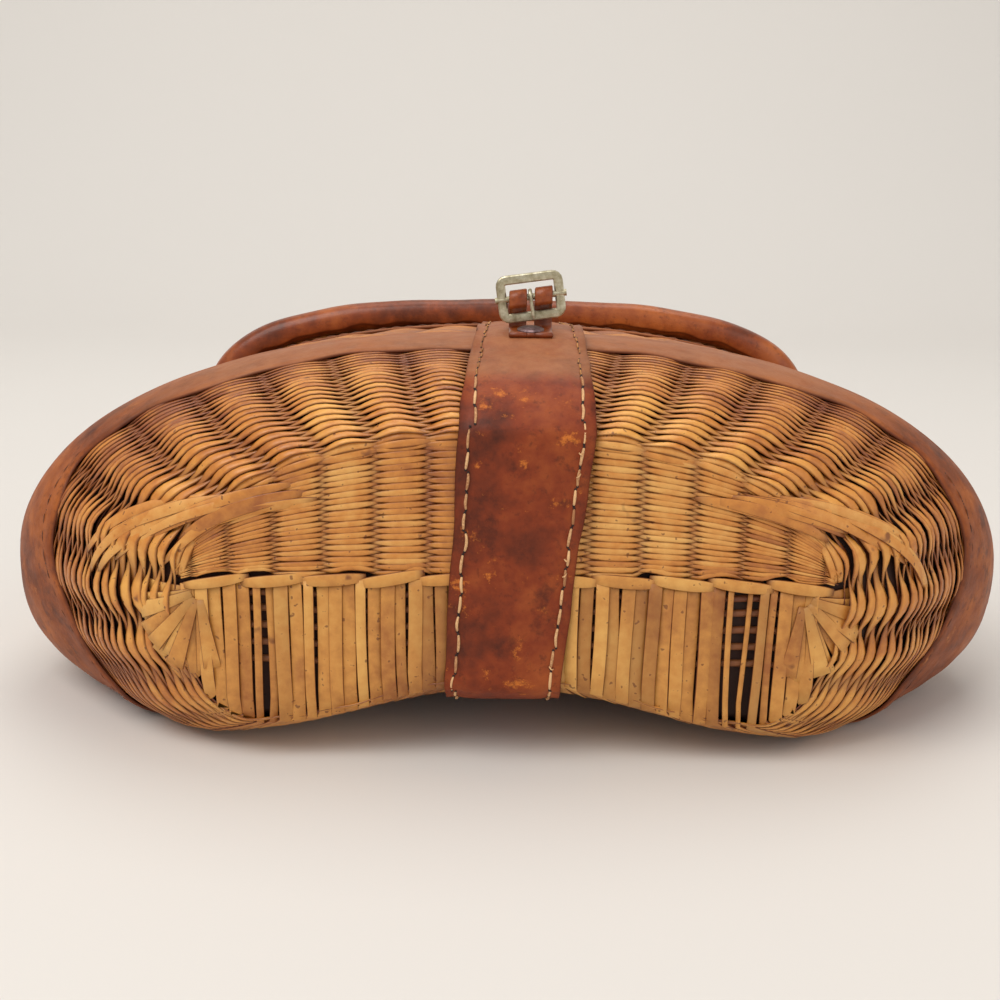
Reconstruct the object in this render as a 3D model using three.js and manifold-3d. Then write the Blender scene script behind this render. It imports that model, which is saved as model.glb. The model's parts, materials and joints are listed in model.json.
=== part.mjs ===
// Split-willow fishing creel with leather trim, lying on its back.
// Millimetres, +Z up. +X runs along the width, the base faces -Y, the mouth and lid face +Y.
import * as THREE from 'three';
import { mergeVertices } from 'three/addons/utils/BufferGeometryUtils.js';
import Module from 'manifold-3d';

const wasm = await Module();
wasm.setup();

// Basket
const BASKET_WIDTH = 370;
const BASKET_DEPTH = 136.5;
const BASKET_HEIGHT = 200;
const WALL = 4;
const GAP = 0.3;

// Leather
const LEATHER = 2;
const BAND_LOW = 45;
const BAND_HIGH = 76;
const BAND_DROP = 20;
const BAND_EASE = 0.4;
const BAND_ROUND = 0.6;
const BINDING_DROP = 10;
const BINDING_TOP = 2.4;

// Centre strap
const STRAP_WIDTH_TOP = 37;
const STRAP_WIDTH_CREST = 38;
const STRAP_WIDTH_TURN = 44.5;
const STRAP_WIDTH_REAR = 39.5;
const STRAP_CLEAR = 2;
const STRAP_SEAT = 1;
const STRAP_RAMP = 7;
const STRAP_SLACK = 0.5;
const STRAP_SHIFT_REAR = -1.4;
const STRAP_SHIFT_TURN = 5.8;
const STRAP_SHIFT_CREST = 7.2;

// Lid
const LID_THICK = 12;
const LID_ROLL = 12;
const LID_ROUND = 2.6;
const LID_PANEL = 5;
const LID_GAP = 0.7;

// Wire hinge loops
const LOOP_X = 62;
const LOOP_RADIUS = 5;
const LOOP_WIRE = 0.9;
const LOOP_HOLE = 1.6;
const LOOP_Z = 6;

// Buckle
const BUCKLE_BACK = 19.2;
const BUCKLE_WIDTH = 24;
const BUCKLE_TALL = 17;
const BUCKLE_RIM = 3.4;
const BUCKLE_THICK = 2.2;
const BUCKLE_BAR = 1.2;
const BUCKLE_CORNER = 2;
const RIM_SQUARE = 0.5;
const BUCKLE_NUB = 0.8;
const BUCKLE_TILT = 8 * Math.PI / 180;
const CHAPE_WIDTH = 15.4;
const CHAPE_THICK = 1.6;
const CHAPE_REACH = 12.6;
const CHAPE_TAIL = 3.2;
const CHAPE_BEND = 2.2;
const SLOT_WIDTH = 2.8;
const PRONG_WIRE = 0.7;
const PRONG_REACH = 7.6;
const PRONG_EYE_GAP = 0.4;
const RIVET_RADIUS = 4.8;
const RIVET_HEAD = 1.3;
const RIVET_BACK = 7.6;

const MOUTH_TOP = BASKET_HEIGHT + GAP + BINDING_TOP;
const LID_LOW = MOUTH_TOP + LID_GAP;
const HINGE_Y = MOUTH_TOP + LID_GAP / 2;
const BUCKLE_Y = BAND_HIGH - BUCKLE_BACK;
const RIVET_Y = BUCKLE_Y - RIVET_BACK;

// Sections of the basket from base to mouth. rise is a share of the height, half and foot of the
// half width, the other columns of the depth. lift is the height of the feet and hollow that of
// the middle of the back. corner is the power that rounds the lower corners, fuller when small.
const SECTIONS = [
  { rise: 0.00, half: 0.606, foot: 0.475, waist: 0.454, front: 0.853, lift: 0.115, hollow: 0.235, corner: 1.15 },
  { rise: 0.02, half: 0.649, foot: 0.503, waist: 0.454, front: 0.883, lift: 0.09, hollow: 0.215, corner: 1.15 },
  { rise: 0.06, half: 0.741, foot: 0.563, waist: 0.447, front: 0.927, lift: 0.052, hollow: 0.18, corner: 1.15 },
  { rise: 0.12, half: 0.811, foot: 0.616, waist: 0.432, front: 0.963, lift: 0.028, hollow: 0.145, corner: 1.15 },
  { rise: 0.20, half: 0.890, foot: 0.659, waist: 0.418, front: 0.987, lift: 0.018, hollow: 0.12, corner: 1.10 },
  { rise: 0.28, half: 0.957, foot: 0.719, waist: 0.385, front: 1.000, lift: 0.0169, hollow: 0.105, corner: 0.92 },
  { rise: 0.36, half: 1.000, foot: 0.758, waist: 0.350, front: 1.000, lift: 0.0169, hollow: 0.096, corner: 0.76 },
  { rise: 0.48, half: 1.000, foot: 0.768, waist: 0.350, front: 0.985, lift: 0.0169, hollow: 0.085, corner: 0.74 },
  { rise: 0.65, half: 0.954, foot: 0.734, waist: 0.380, front: 0.955, lift: 0.0169, hollow: 0.065, corner: 0.90 },
  { rise: 0.82, half: 0.912, foot: 0.680, waist: 0.405, front: 0.925, lift: 0.0169, hollow: 0.036, corner: 1.05 },
  { rise: 1.00, half: 0.871, foot: 0.638, waist: 0.418, front: 0.895, lift: 0.0169, hollow: 0.0169, corner: 1.15 },
];
const LID_SECTION = {
  half: 0.78, foot: 0.585, waist: 0.440, front: 0.982, lift: 0.055, hollow: 0.055, corner: 1.15,
};

// Roundness of the front as powers of a cosine and a sine. The lid is flatter with fuller shoulders.
const BASKET_FRONT = { across: 0.87, up: 0.976 };
const LID_FRONT = { across: 0.68, up: 0.58 };
const BACK_STEPS = 8;
const CORNER_STEPS = 6;
const FRONT_STEPS = 16;

const sizes = (row, round) => ({
  ...round,
  half: row.half * BASKET_WIDTH / 2,
  foot: row.foot * BASKET_WIDTH / 2,
  waist: row.waist * BASKET_DEPTH,
  front: row.front * BASKET_DEPTH,
  lift: row.lift * BASKET_DEPTH,
  hollow: row.hollow * BASKET_DEPTH,
  corner: row.corner,
});

// Smooth curve between two rows of the table, as a share t of the way.
function smooth(before, from, to, after, key, t) {
  const span = to.rise - from.rise;
  const slopeA = span * (to[key] - before[key]) / (to.rise - before.rise);
  const slopeB = span * (after[key] - from[key]) / (after.rise - from.rise);
  const t2 = t * t;
  const t3 = t2 * t;
  return (2 * t3 - 3 * t2 + 1) * from[key] + (t3 - 2 * t2 + t) * slopeA
    + (3 * t2 - 2 * t3) * to[key] + (t3 - t2) * slopeB;
}

function sectionAt(y) {
  const rise = Math.min(1, Math.max(0, y / BASKET_HEIGHT));
  const last = SECTIONS.length - 2;
  const i = Math.min(last, SECTIONS.findLastIndex((row) => row.rise <= rise));
  const from = SECTIONS[i];
  const to = SECTIONS[i + 1];
  const before = SECTIONS[Math.max(0, i - 1)];
  const after = SECTIONS[Math.min(last + 1, i + 2)];
  const t = (rise - from.rise) / (to.rise - from.rise);
  const row = {};
  for (const key of ['half', 'foot', 'waist', 'front', 'lift', 'hollow', 'corner']) {
    row[key] = smooth(before, from, to, after, key, t);
  }
  return sizes(row, BASKET_FRONT);
}

// One closed kidney-shaped loop of (x, z) points, from the middle of the back round by +X.
function loop(size) {
  const side = [];
  for (let i = 0; i < BACK_STEPS; i += 1) {
    const t = i / BACK_STEPS;
    const dip = Math.cos(Math.PI / 2 * t) ** 2;
    side.push([size.foot * t, size.lift + (size.hollow - size.lift) * dip]);
  }
  for (let i = 0; i < CORNER_STEPS; i += 1) {
    const a = Math.PI / 2 * i / CORNER_STEPS;
    const x = size.foot + (size.half - size.foot) * Math.sin(a);
    side.push([x, size.waist - (size.waist - size.lift) * Math.cos(a) ** size.corner]);
  }
  for (let i = 0; i <= FRONT_STEPS; i += 1) {
    const a = Math.PI / 2 * i / FRONT_STEPS;
    const x = size.half * Math.abs(Math.cos(a)) ** size.across;
    side.push([i === FRONT_STEPS ? 0 : x, size.waist + (size.front - size.waist) * Math.sin(a) ** size.up]);
  }
  const other = side.slice(1, -1).reverse().map(([x, z]) => [-x, z]);
  return side.concat(other);
}

// The loop moved outwards by grow, at height y.
function ring(size, y, grow) {
  const flat = loop(size);
  const count = flat.length;
  return flat.map(([x, z], i) => {
    const [px, pz] = flat[(i + count - 1) % count];
    const [nx, nz] = flat[(i + 1) % count];
    const long = Math.hypot(nx - px, nz - pz);
    return new THREE.Vector3(x + (nz - pz) / long * grow, y, z - (nx - px) / long * grow);
  });
}

const basketRing = (y, grow) => ring(sectionAt(y), y, grow);

function faceOut(geometry) {
  const p = geometry.attributes.position;
  const index = geometry.index.array;
  const a = new THREE.Vector3();
  const b = new THREE.Vector3();
  const c = new THREE.Vector3();
  let volume = 0;
  for (let i = 0; i < index.length; i += 3) {
    a.fromBufferAttribute(p, index[i]);
    b.fromBufferAttribute(p, index[i + 1]);
    c.fromBufferAttribute(p, index[i + 2]);
    volume += a.dot(b.cross(c));
  }
  if (volume < 0) {
    for (let i = 0; i < index.length; i += 3) {
      [index[i + 1], index[i + 2]] = [index[i + 2], index[i + 1]];
    }
  }
  return geometry;
}

// Skins a row of equal loops. The row closes on itself, or ends in a centre point at each end.
function skin(rings, closed) {
  const count = rings[0].length;
  const points = rings.flat();
  const index = [];
  const rows = closed ? rings.length : rings.length - 1;
  for (let r = 0; r < rows; r += 1) {
    const low = r * count;
    const high = ((r + 1) % rings.length) * count;
    for (let i = 0; i < count; i += 1) {
      const j = (i + 1) % count;
      index.push(low + i, low + j, high + j, low + i, high + j, high + i);
    }
  }
  if (!closed) {
    for (const [r, turn] of [[0, 1], [rings.length - 1, 0]]) {
      const middle = points.length;
      const centre = new THREE.Vector3();
      rings[r].forEach((p) => centre.add(p));
      points.push(centre.divideScalar(count));
      for (let i = 0; i < count; i += 1) {
        const j = (i + 1) % count;
        index.push(middle, r * count + (turn ? j : i), r * count + (turn ? i : j));
      }
    }
  }
  const geometry = new THREE.BufferGeometry();
  const flat = points.flatMap((p) => [p.x, p.y, p.z]);
  geometry.setAttribute('position', new THREE.Float32BufferAttribute(flat, 3));
  geometry.setIndex(index);
  return faceOut(geometry);
}

function clean(source) {
  const geometry = source.clone();
  geometry.deleteAttribute('normal');
  geometry.deleteAttribute('uv');
  return faceOut(mergeVertices(geometry, 0.0001));
}

function toSolid(source) {
  const geometry = clean(source);
  return new wasm.Manifold(new wasm.Mesh({
    numProp: 3,
    vertProperties: new Float32Array(geometry.attributes.position.array),
    triVerts: new Uint32Array(geometry.index.array),
  }));
}

function fromSolid(solid) {
  const mesh = solid.getMesh();
  const geometry = new THREE.BufferGeometry();
  geometry.setAttribute('position', new THREE.Float32BufferAttribute(mesh.vertProperties, 3));
  geometry.setIndex(Array.from(mesh.triVerts));
  return geometry;
}

const cut = (body, tools) => fromSolid(tools.reduce((solid, tool) => solid.subtract(toSolid(tool)), toSolid(body)));
const join = (bodies) => fromSolid(bodies.map(toSolid).reduce((sum, solid) => sum.add(solid)));

// Torus round an axis along X.
function hoop(radius, wire, x, y, z, around, section) {
  const geometry = new THREE.TorusGeometry(radius, wire, section, around);
  geometry.rotateY(Math.PI / 2);
  geometry.translate(x, y, z);
  return geometry;
}

// Basket: outer skin up from the base, over the rim and down the inside, as shares of the height.
const BASKET_ROWS = [0, 0.01, 0.025, 0.045, 0.07, 0.1, 0.14, 0.185, 0.235, 0.29, 0.35, 0.42, 0.525, 0.65,
  0.775, 0.9, 1];
const INNER_ROWS = [1, 0.82, 0.64, 0.47, 0.34, 0.24, 0.16, 0.1, 0.06, 0.03, 0];

function basketShape() {
  const outer = BASKET_ROWS.map((share) => basketRing(share * BASKET_HEIGHT, 0));
  const inner = INNER_ROWS.map((share) => basketRing(WALL + share * (BASKET_HEIGHT - WALL), -WALL));
  return skin([...outer, ...inner], false);
}

// One row of the belly band, at a share of its height. Its lower edge drops over the rear corners.
function bandRow(share, grow) {
  const flat = loop(sectionAt(BAND_LOW));
  return flat.map(([x, z], i) => {
    const side = THREE.MathUtils.smoothstep(Math.abs(x) / (BASKET_WIDTH / 2), 0.55, 0.9);
    const rear = 1 - THREE.MathUtils.smoothstep(z / BASKET_DEPTH, 0.05, 0.75);
    const low = BAND_LOW - BAND_DROP * side * rear;
    return basketRing(low + (BAND_HIGH - low) * share, grow + BAND_EASE * side * THREE.MathUtils.smoothstep(z / BASKET_DEPTH, 0.02, 0.1))[i];
  });
}

function bellyBand() {
  const steps = 5;
  const out = GAP + LEATHER;
  const rows = [];
  for (let i = 0; i <= steps; i += 1) {
    const edge = i === 0 || i === steps;
    rows.push(bandRow(i / steps, out - (edge ? BAND_ROUND : 0)));
  }
  for (let i = steps; i >= 0; i -= 1) {
    rows.push(bandRow(i / steps, GAP));
  }
  return skin(rows, true);
}

// Leather folded over the rim of the mouth.
function mouthBinding() {
  const low = BASKET_HEIGHT - BINDING_DROP;
  const seat = BASKET_HEIGHT + GAP;
  const out = GAP + LEATHER;
  const rim = sectionAt(BASKET_HEIGHT);
  return skin([
    basketRing(low, out),
    basketRing((low + BASKET_HEIGHT) / 2, out),
    ring(rim, BASKET_HEIGHT, out),
    ring(rim, MOUTH_TOP, out - BAND_ROUND),
    ring(rim, MOUTH_TOP, -WALL - out + BAND_ROUND),
    ring(rim, BASKET_HEIGHT, -WALL - out),
    basketRing((low + BASKET_HEIGHT) / 2, -WALL - out),
    basketRing(low, -WALL - out),
    basketRing(low, -WALL - GAP),
    basketRing((low + BASKET_HEIGHT) / 2, -WALL - GAP),
    ring(rim, seat, -WALL - GAP),
    ring(rim, seat, GAP),
    basketRing((low + BASKET_HEIGHT) / 2, GAP),
    basketRing(low, GAP),
  ], true);
}

const lidSize = sizes(LID_SECTION, LID_FRONT);

function lidBinding() {
  const top = LID_LOW + LID_THICK;
  const r = LID_ROUND;
  const half = r * (1 - Math.SQRT1_2);
  return skin([
    ring(lidSize, LID_LOW, -r),
    ring(lidSize, LID_LOW + half, -half),
    ring(lidSize, LID_LOW + r, 0),
    ring(lidSize, top - r, 0),
    ring(lidSize, top - half, -half),
    ring(lidSize, top, -r),
    ring(lidSize, top, -LID_ROLL),
    ring(lidSize, LID_LOW, -LID_ROLL),
  ], true);
}

function lidPanel() {
  const middle = LID_LOW + LID_THICK / 2;
  return skin([
    ring(lidSize, middle - LID_PANEL / 2, -LID_ROLL - GAP),
    ring(lidSize, middle + LID_PANEL / 2, -LID_ROLL - GAP),
  ], false);
}

// Middle line of the basket, front to back, as (y, z) with the strap's clearance and width.
function strapLine() {
  const line = [];
  const seat = (y) => {
    const band = GAP + LEATHER + GAP;
    const near = Math.max(BAND_LOW - y, y - BAND_HIGH, 0);
    const ramp = Math.max(0, 1 - Math.max(0, near - 1) / STRAP_RAMP);
    return STRAP_SEAT + (band - STRAP_SEAT + STRAP_SLACK) * ramp;
  };
  const top = BASKET_HEIGHT - BINDING_DROP - STRAP_CLEAR;
  const rise = top - BAND_HIGH;
  const band = BAND_HIGH - BAND_LOW;
  const heights = [
    ...[1, 0.75, 0.48, 0.26].map((share) => BAND_HIGH + rise * share),
    ...[2, 1.1, 0.57, 0.14].map((share) => BAND_HIGH + STRAP_RAMP * share),
    ...[0.75, 0.5, 0.22].map((share) => BAND_LOW + band * share),
    ...[0.14, 0.57, 1.1].map((share) => BAND_LOW - STRAP_RAMP * share),
    ...[0.67, 0.53, 0.4, 0.27, 0.16, 0.07].map((share) => BAND_LOW * share),
  ];
  const crest = (BAND_LOW + BAND_HIGH) / 2;
  for (const y of heights) {
    const width = y > crest
      ? STRAP_WIDTH_CREST + (STRAP_WIDTH_TOP - STRAP_WIDTH_CREST) * (y - crest) / (top - crest)
      : STRAP_WIDTH_TURN + (STRAP_WIDTH_CREST - STRAP_WIDTH_TURN) * y / crest;
    const shift = STRAP_SHIFT_TURN + (STRAP_SHIFT_CREST - STRAP_SHIFT_TURN) * Math.min(1, y / crest);
    line.push({ y, z: sectionAt(y).front, seat: seat(y), width, shift });
  }
  const base = sectionAt(0);
  line.push({ y: 0, z: base.front, seat: STRAP_SEAT, width: STRAP_WIDTH_TURN, shift: STRAP_SHIFT_TURN });
  line.push({ y: 0, z: base.hollow, seat: STRAP_SEAT, width: STRAP_WIDTH_REAR, shift: STRAP_SHIFT_REAR });
  for (const y of heights.slice().reverse()) {
    const back = sectionAt(y);
    const arch = Math.sin(Math.PI / 4 * STRAP_WIDTH_REAR / back.foot) ** 2;
    const fall = (back.hollow - back.lift) * arch;
    const rear = { width: STRAP_WIDTH_REAR, shift: STRAP_SHIFT_REAR };
    line.push({ y, z: back.hollow, seat: seat(y) + fall, ...rear });
  }
  return line;
}

// Ribbon of even thickness along a line in the YZ plane. Its outer side is to the left of travel
// when side is 1. lean(p) raises a point in step with x.
function ribbon(line, thick, side, lean = () => 0) {
  const rings = line.map((p, i) => {
    const a = line[Math.max(0, i - 1)];
    const b = line[Math.min(line.length - 1, i + 1)];
    const into = new THREE.Vector2(p.y - a.y, p.z - a.z);
    const away = new THREE.Vector2(b.y - p.y, b.z - p.z);
    if (i === 0) into.copy(away);
    if (i === line.length - 1) away.copy(into);
    const along = into.normalize().add(away.normalize());
    const mitre = 2 / along.length();
    along.normalize();
    const ny = -along.y * side;
    const nz = along.x * side;
    const low = p.seat * mitre;
    const high = (p.seat + thick) * mitre;
    const w = p.width / 2;
    const at = (x, far) => new THREE.Vector3(p.shift + x, p.y + ny * far, p.z + nz * far + lean(p) * x);
    return [at(-w, low), at(w, low), at(w, high), at(-w, high)];
  });
  return skin(rings, false);
}

const strapTop = (y) => {
  const p = strapLine().filter((point) => point.z > BASKET_DEPTH / 2);
  const i = p.findIndex((point) => point.y <= y);
  const a = p[i - 1];
  const b = p[i];
  const t = (a.y - y) / (a.y - b.y);
  return a.z + (b.z - a.z) * t + a.seat + (b.seat - a.seat) * t + LEATHER;
};

// Heights of the buckle's three bars.
const BAR_REACH = BUCKLE_TALL / 2 - BUCKLE_RIM / 2;
const TILT_DROP = Math.tan(BUCKLE_TILT) * BUCKLE_WIDTH / 2;
const BAR_Z = strapTop(BUCKLE_Y) + GAP + CHAPE_THICK + GAP + TILT_DROP + BUCKLE_TALL / 2;
const WRAP = BUCKLE_BAR + GAP + CHAPE_THICK / 2;

function chapeShape() {
  const middle = GAP + CHAPE_THICK / 2;
  const bend = CHAPE_BEND;
  const back = BUCKLE_Y + WRAP;
  const line = [];
  const flat = CHAPE_REACH - CHAPE_BEND;
  for (let i = 0; i <= 8; i += 1) {
    const y = BUCKLE_Y - CHAPE_REACH + flat * i / 8;
    line.push([y, strapTop(y) + middle, 0]);
  }
  const floor = strapTop(back) + middle;
  for (const a of [0, 30, 60, 90]) {
    const t = a * Math.PI / 180;
    line.push([back - bend + bend * Math.sin(t), floor + bend - bend * Math.cos(t), 0.6 * a / 90]);
  }
  for (let a = 0; a <= 180; a += 30) {
    const t = a * Math.PI / 180;
    line.push([BUCKLE_Y + WRAP * Math.cos(t), BAR_Z + WRAP * Math.sin(t), 1]);
  }
  line.push([BUCKLE_Y - WRAP, BAR_Z - CHAPE_TAIL, 1]);
  const path = line.map(([y, z, tilt]) => ({ y, z, seat: -CHAPE_THICK / 2, width: CHAPE_WIDTH, shift: 0, tilt }));
  const body = ribbon(path, CHAPE_THICK, 1, (p) => Math.tan(BUCKLE_TILT) * p.tilt);
  const slot = new THREE.BoxGeometry(SLOT_WIDTH, 4 * WRAP, 2 * CHAPE_TAIL);
  slot.translate(0, BUCKLE_Y, BAR_Z);
  return cut(body, [slot]).translate(STRAP_SHIFT_CREST, 0, 0);
}

// Rectangular frame of flat bar with rounded corners, and a round centre bar.
function buckleFrame() {
  const w = (BUCKLE_WIDTH - BUCKLE_RIM) / 2;
  const h = BAR_REACH;
  const r = BUCKLE_CORNER;
  const around = 12;
  const line = [];
  for (const [cx, cz, start] of [[w - r, h - r, 0], [r - w, h - r, 90], [r - w, r - h, 180], [w - r, r - h, 270]]) {
    for (const a of [0, 22.5, 45, 67.5, 90]) {
      const t = (start + a) * Math.PI / 180;
      line.push([cx + r * Math.cos(t), cz + r * Math.sin(t), Math.cos(t), Math.sin(t)]);
    }
  }
  const rings = line.map(([x, z, nx, nz]) => Array.from({ length: around }, (_, k) => {
    const t = 2 * Math.PI * k / around;
    const across = Math.sign(Math.cos(t)) * Math.abs(Math.cos(t)) ** RIM_SQUARE * BUCKLE_RIM / 2;
    const deep = Math.sign(Math.sin(t)) * Math.abs(Math.sin(t)) ** RIM_SQUARE * BUCKLE_THICK / 2;
    return new THREE.Vector3(x + nx * across, deep, z + nz * across);
  }));
  const bar = new THREE.CylinderGeometry(BUCKLE_BAR, BUCKLE_BAR, BUCKLE_WIDTH + 2 * BUCKLE_NUB, 20);
  bar.rotateZ(Math.PI / 2);
  const geometry = join([skin(rings, true), bar]);
  geometry.rotateY(-BUCKLE_TILT);
  geometry.translate(STRAP_SHIFT_CREST, BUCKLE_Y, BAR_Z);
  return geometry;
}

function prongShape() {
  const eye = BUCKLE_BAR + PRONG_EYE_GAP + PRONG_WIRE;
  const loopOfWire = hoop(eye, PRONG_WIRE, 0, 0, 0, 24, 10);
  const rings = [[0, 1], [0.5, 1], [0.85, 0.85], [1, 0.45]].map(([share, size]) => {
    const z = -PRONG_REACH * share;
    return Array.from({ length: 10 }, (_, k) => {
      const t = 2 * Math.PI * k / 10;
      const wide = PRONG_WIRE * size;
      return new THREE.Vector3(wide * Math.cos(t), -eye + wide * Math.sin(t), z);
    });
  });
  const geometry = join([loopOfWire, skin(rings, false)]);
  geometry.rotateY(-BUCKLE_TILT);
  geometry.translate(STRAP_SHIFT_CREST, BUCKLE_Y, BAR_Z);
  return geometry;
}

// Flat domed head, sitting on the chape.
function rivetShape() {
  const seat = strapTop(RIVET_Y) + GAP + CHAPE_THICK + GAP;
  const slope = Math.atan2(strapTop(RIVET_Y + RIVET_RADIUS) - strapTop(RIVET_Y - RIVET_RADIUS), 2 * RIVET_RADIUS);
  const profile = [[0, 0], [RIVET_RADIUS, 0], [RIVET_RADIUS, 0.35], [RIVET_RADIUS * 0.8, 0.8],
    [RIVET_RADIUS * 0.45, 1.15], [0, RIVET_HEAD]];
  const geometry = new THREE.LatheGeometry(profile.map(([x, y]) => new THREE.Vector2(x, y)), 24);
  geometry.rotateX(Math.PI / 2 + slope);
  geometry.translate(STRAP_SHIFT_CREST, RIVET_Y, seat);
  return clean(geometry);
}

const channels = [-LOOP_X, LOOP_X].map((x) => hoop(LOOP_RADIUS, LOOP_HOLE, x, HINGE_Y, LOOP_Z, 24, 8));
const wireLoop = (x) => clean(hoop(LOOP_RADIUS, LOOP_WIRE, x, HINGE_Y, LOOP_Z, 24, 8));

const MIDDLE_Y = (LID_LOW + LID_THICK - STRAP_SEAT - LEATHER) / 2;

const LOOKS = {
  willow: { color: 0xc68f4e, roughness: 0.62, metalness: 0 },
  band: { color: 0x7d4028, roughness: 0.6, metalness: 0 },
  strap: { color: 0x82351c, roughness: 0.62, metalness: 0 },
  lid: { color: 0x70351c, roughness: 0.45, metalness: 0 },
  metal: { color: 0x9a9384, roughness: 0.45, metalness: 0.85 },
};

const PIECES = [
  ['basket_body', 'willow', cut(basketShape(), channels)],
  ['belly_band', 'band', bellyBand()],
  ['centre_strap', 'strap', ribbon(strapLine(), LEATHER, -1)],
  ['mouth_binding', 'band', cut(mouthBinding(), channels)],
  ['lid_panel', 'willow', lidPanel()],
  ['lid_binding', 'lid', cut(lidBinding(), channels)],
  ['hinge_loop_left', 'metal', wireLoop(-LOOP_X)],
  ['hinge_loop_right', 'metal', wireLoop(LOOP_X)],
  ['buckle_chape', 'lid', chapeShape()],
  ['buckle_frame', 'metal', buckleFrame()],
  ['buckle_prong', 'metal', prongShape()],
  ['strap_rivet', 'metal', rivetShape()],
];

const creel = new THREE.Group();
creel.name = 'fishing_creel_bag';
for (const [name, look, geometry] of PIECES) {
  geometry.translate(0, -MIDDLE_Y, 0);
  const mesh = new THREE.Mesh(geometry, new THREE.MeshStandardMaterial(LOOKS[look]));
  mesh.name = name;
  creel.add(mesh);
}

export default creel;
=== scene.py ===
"""Split-willow fishing creel with leather trim, built as a Blender add-on over a packed CAD frame."""
import json
import math

import bpy
import numpy as np
from bpy.props import FloatProperty, FloatVectorProperty, PointerProperty
from mathutils import Matrix, Vector
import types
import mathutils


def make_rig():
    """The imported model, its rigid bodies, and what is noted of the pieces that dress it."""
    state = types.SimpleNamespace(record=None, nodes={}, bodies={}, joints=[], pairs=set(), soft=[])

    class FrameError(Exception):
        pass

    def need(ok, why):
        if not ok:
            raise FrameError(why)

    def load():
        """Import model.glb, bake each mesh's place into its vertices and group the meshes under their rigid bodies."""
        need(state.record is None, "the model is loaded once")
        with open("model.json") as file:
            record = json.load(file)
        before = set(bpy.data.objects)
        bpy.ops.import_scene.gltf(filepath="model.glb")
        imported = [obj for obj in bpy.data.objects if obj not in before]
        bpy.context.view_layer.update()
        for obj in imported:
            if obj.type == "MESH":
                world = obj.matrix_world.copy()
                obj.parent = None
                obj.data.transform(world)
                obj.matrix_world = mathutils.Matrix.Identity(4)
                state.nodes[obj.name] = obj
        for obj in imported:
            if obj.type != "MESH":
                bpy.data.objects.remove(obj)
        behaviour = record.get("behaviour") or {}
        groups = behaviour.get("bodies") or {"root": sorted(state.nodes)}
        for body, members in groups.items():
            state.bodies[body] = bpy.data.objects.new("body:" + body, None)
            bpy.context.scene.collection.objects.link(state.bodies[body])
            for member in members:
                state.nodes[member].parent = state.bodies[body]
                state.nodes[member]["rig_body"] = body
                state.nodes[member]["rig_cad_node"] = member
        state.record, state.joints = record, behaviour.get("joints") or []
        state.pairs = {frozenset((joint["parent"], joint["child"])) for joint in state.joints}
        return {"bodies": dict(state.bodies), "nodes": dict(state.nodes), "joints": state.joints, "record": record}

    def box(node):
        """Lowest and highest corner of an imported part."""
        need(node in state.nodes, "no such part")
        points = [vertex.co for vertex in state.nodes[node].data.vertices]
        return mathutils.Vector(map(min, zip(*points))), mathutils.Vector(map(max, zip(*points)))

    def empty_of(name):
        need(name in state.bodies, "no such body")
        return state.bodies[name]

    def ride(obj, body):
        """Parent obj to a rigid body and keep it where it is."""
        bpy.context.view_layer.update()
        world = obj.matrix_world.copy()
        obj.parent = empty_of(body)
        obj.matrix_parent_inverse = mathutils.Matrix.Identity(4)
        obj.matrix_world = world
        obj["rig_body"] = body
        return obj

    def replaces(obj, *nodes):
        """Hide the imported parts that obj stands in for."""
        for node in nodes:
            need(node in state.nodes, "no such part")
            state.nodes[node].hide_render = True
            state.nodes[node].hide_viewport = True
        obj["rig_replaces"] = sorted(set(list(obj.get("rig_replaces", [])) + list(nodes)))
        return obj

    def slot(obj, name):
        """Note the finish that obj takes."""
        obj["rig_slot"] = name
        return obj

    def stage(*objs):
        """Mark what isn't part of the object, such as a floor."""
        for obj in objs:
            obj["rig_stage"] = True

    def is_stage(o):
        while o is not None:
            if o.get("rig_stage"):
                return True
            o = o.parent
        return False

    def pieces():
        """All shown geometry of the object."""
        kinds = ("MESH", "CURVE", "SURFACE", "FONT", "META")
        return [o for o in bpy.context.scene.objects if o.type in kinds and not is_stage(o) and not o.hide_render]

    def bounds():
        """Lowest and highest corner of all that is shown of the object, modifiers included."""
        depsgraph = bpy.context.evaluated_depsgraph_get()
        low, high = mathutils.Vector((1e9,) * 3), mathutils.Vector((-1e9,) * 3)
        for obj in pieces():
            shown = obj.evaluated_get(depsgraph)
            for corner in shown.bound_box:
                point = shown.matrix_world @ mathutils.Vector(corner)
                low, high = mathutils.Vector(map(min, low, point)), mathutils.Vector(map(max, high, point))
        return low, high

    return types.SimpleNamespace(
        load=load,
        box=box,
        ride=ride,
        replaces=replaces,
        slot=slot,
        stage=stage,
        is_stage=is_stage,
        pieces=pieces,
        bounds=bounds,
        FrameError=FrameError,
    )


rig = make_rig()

bl_info = {
    "name": "Willow Creel",
    "version": (1, 0, 0),
    "blender": (4, 5, 0),
    "location": "View3D > Sidebar > Creel",
    "description": "Builds a split-willow fishing creel with leather trim over its CAD frame",
    "category": "Object",
}

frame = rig.load()
CAD_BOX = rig.bounds()
MM = 0.001

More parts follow.
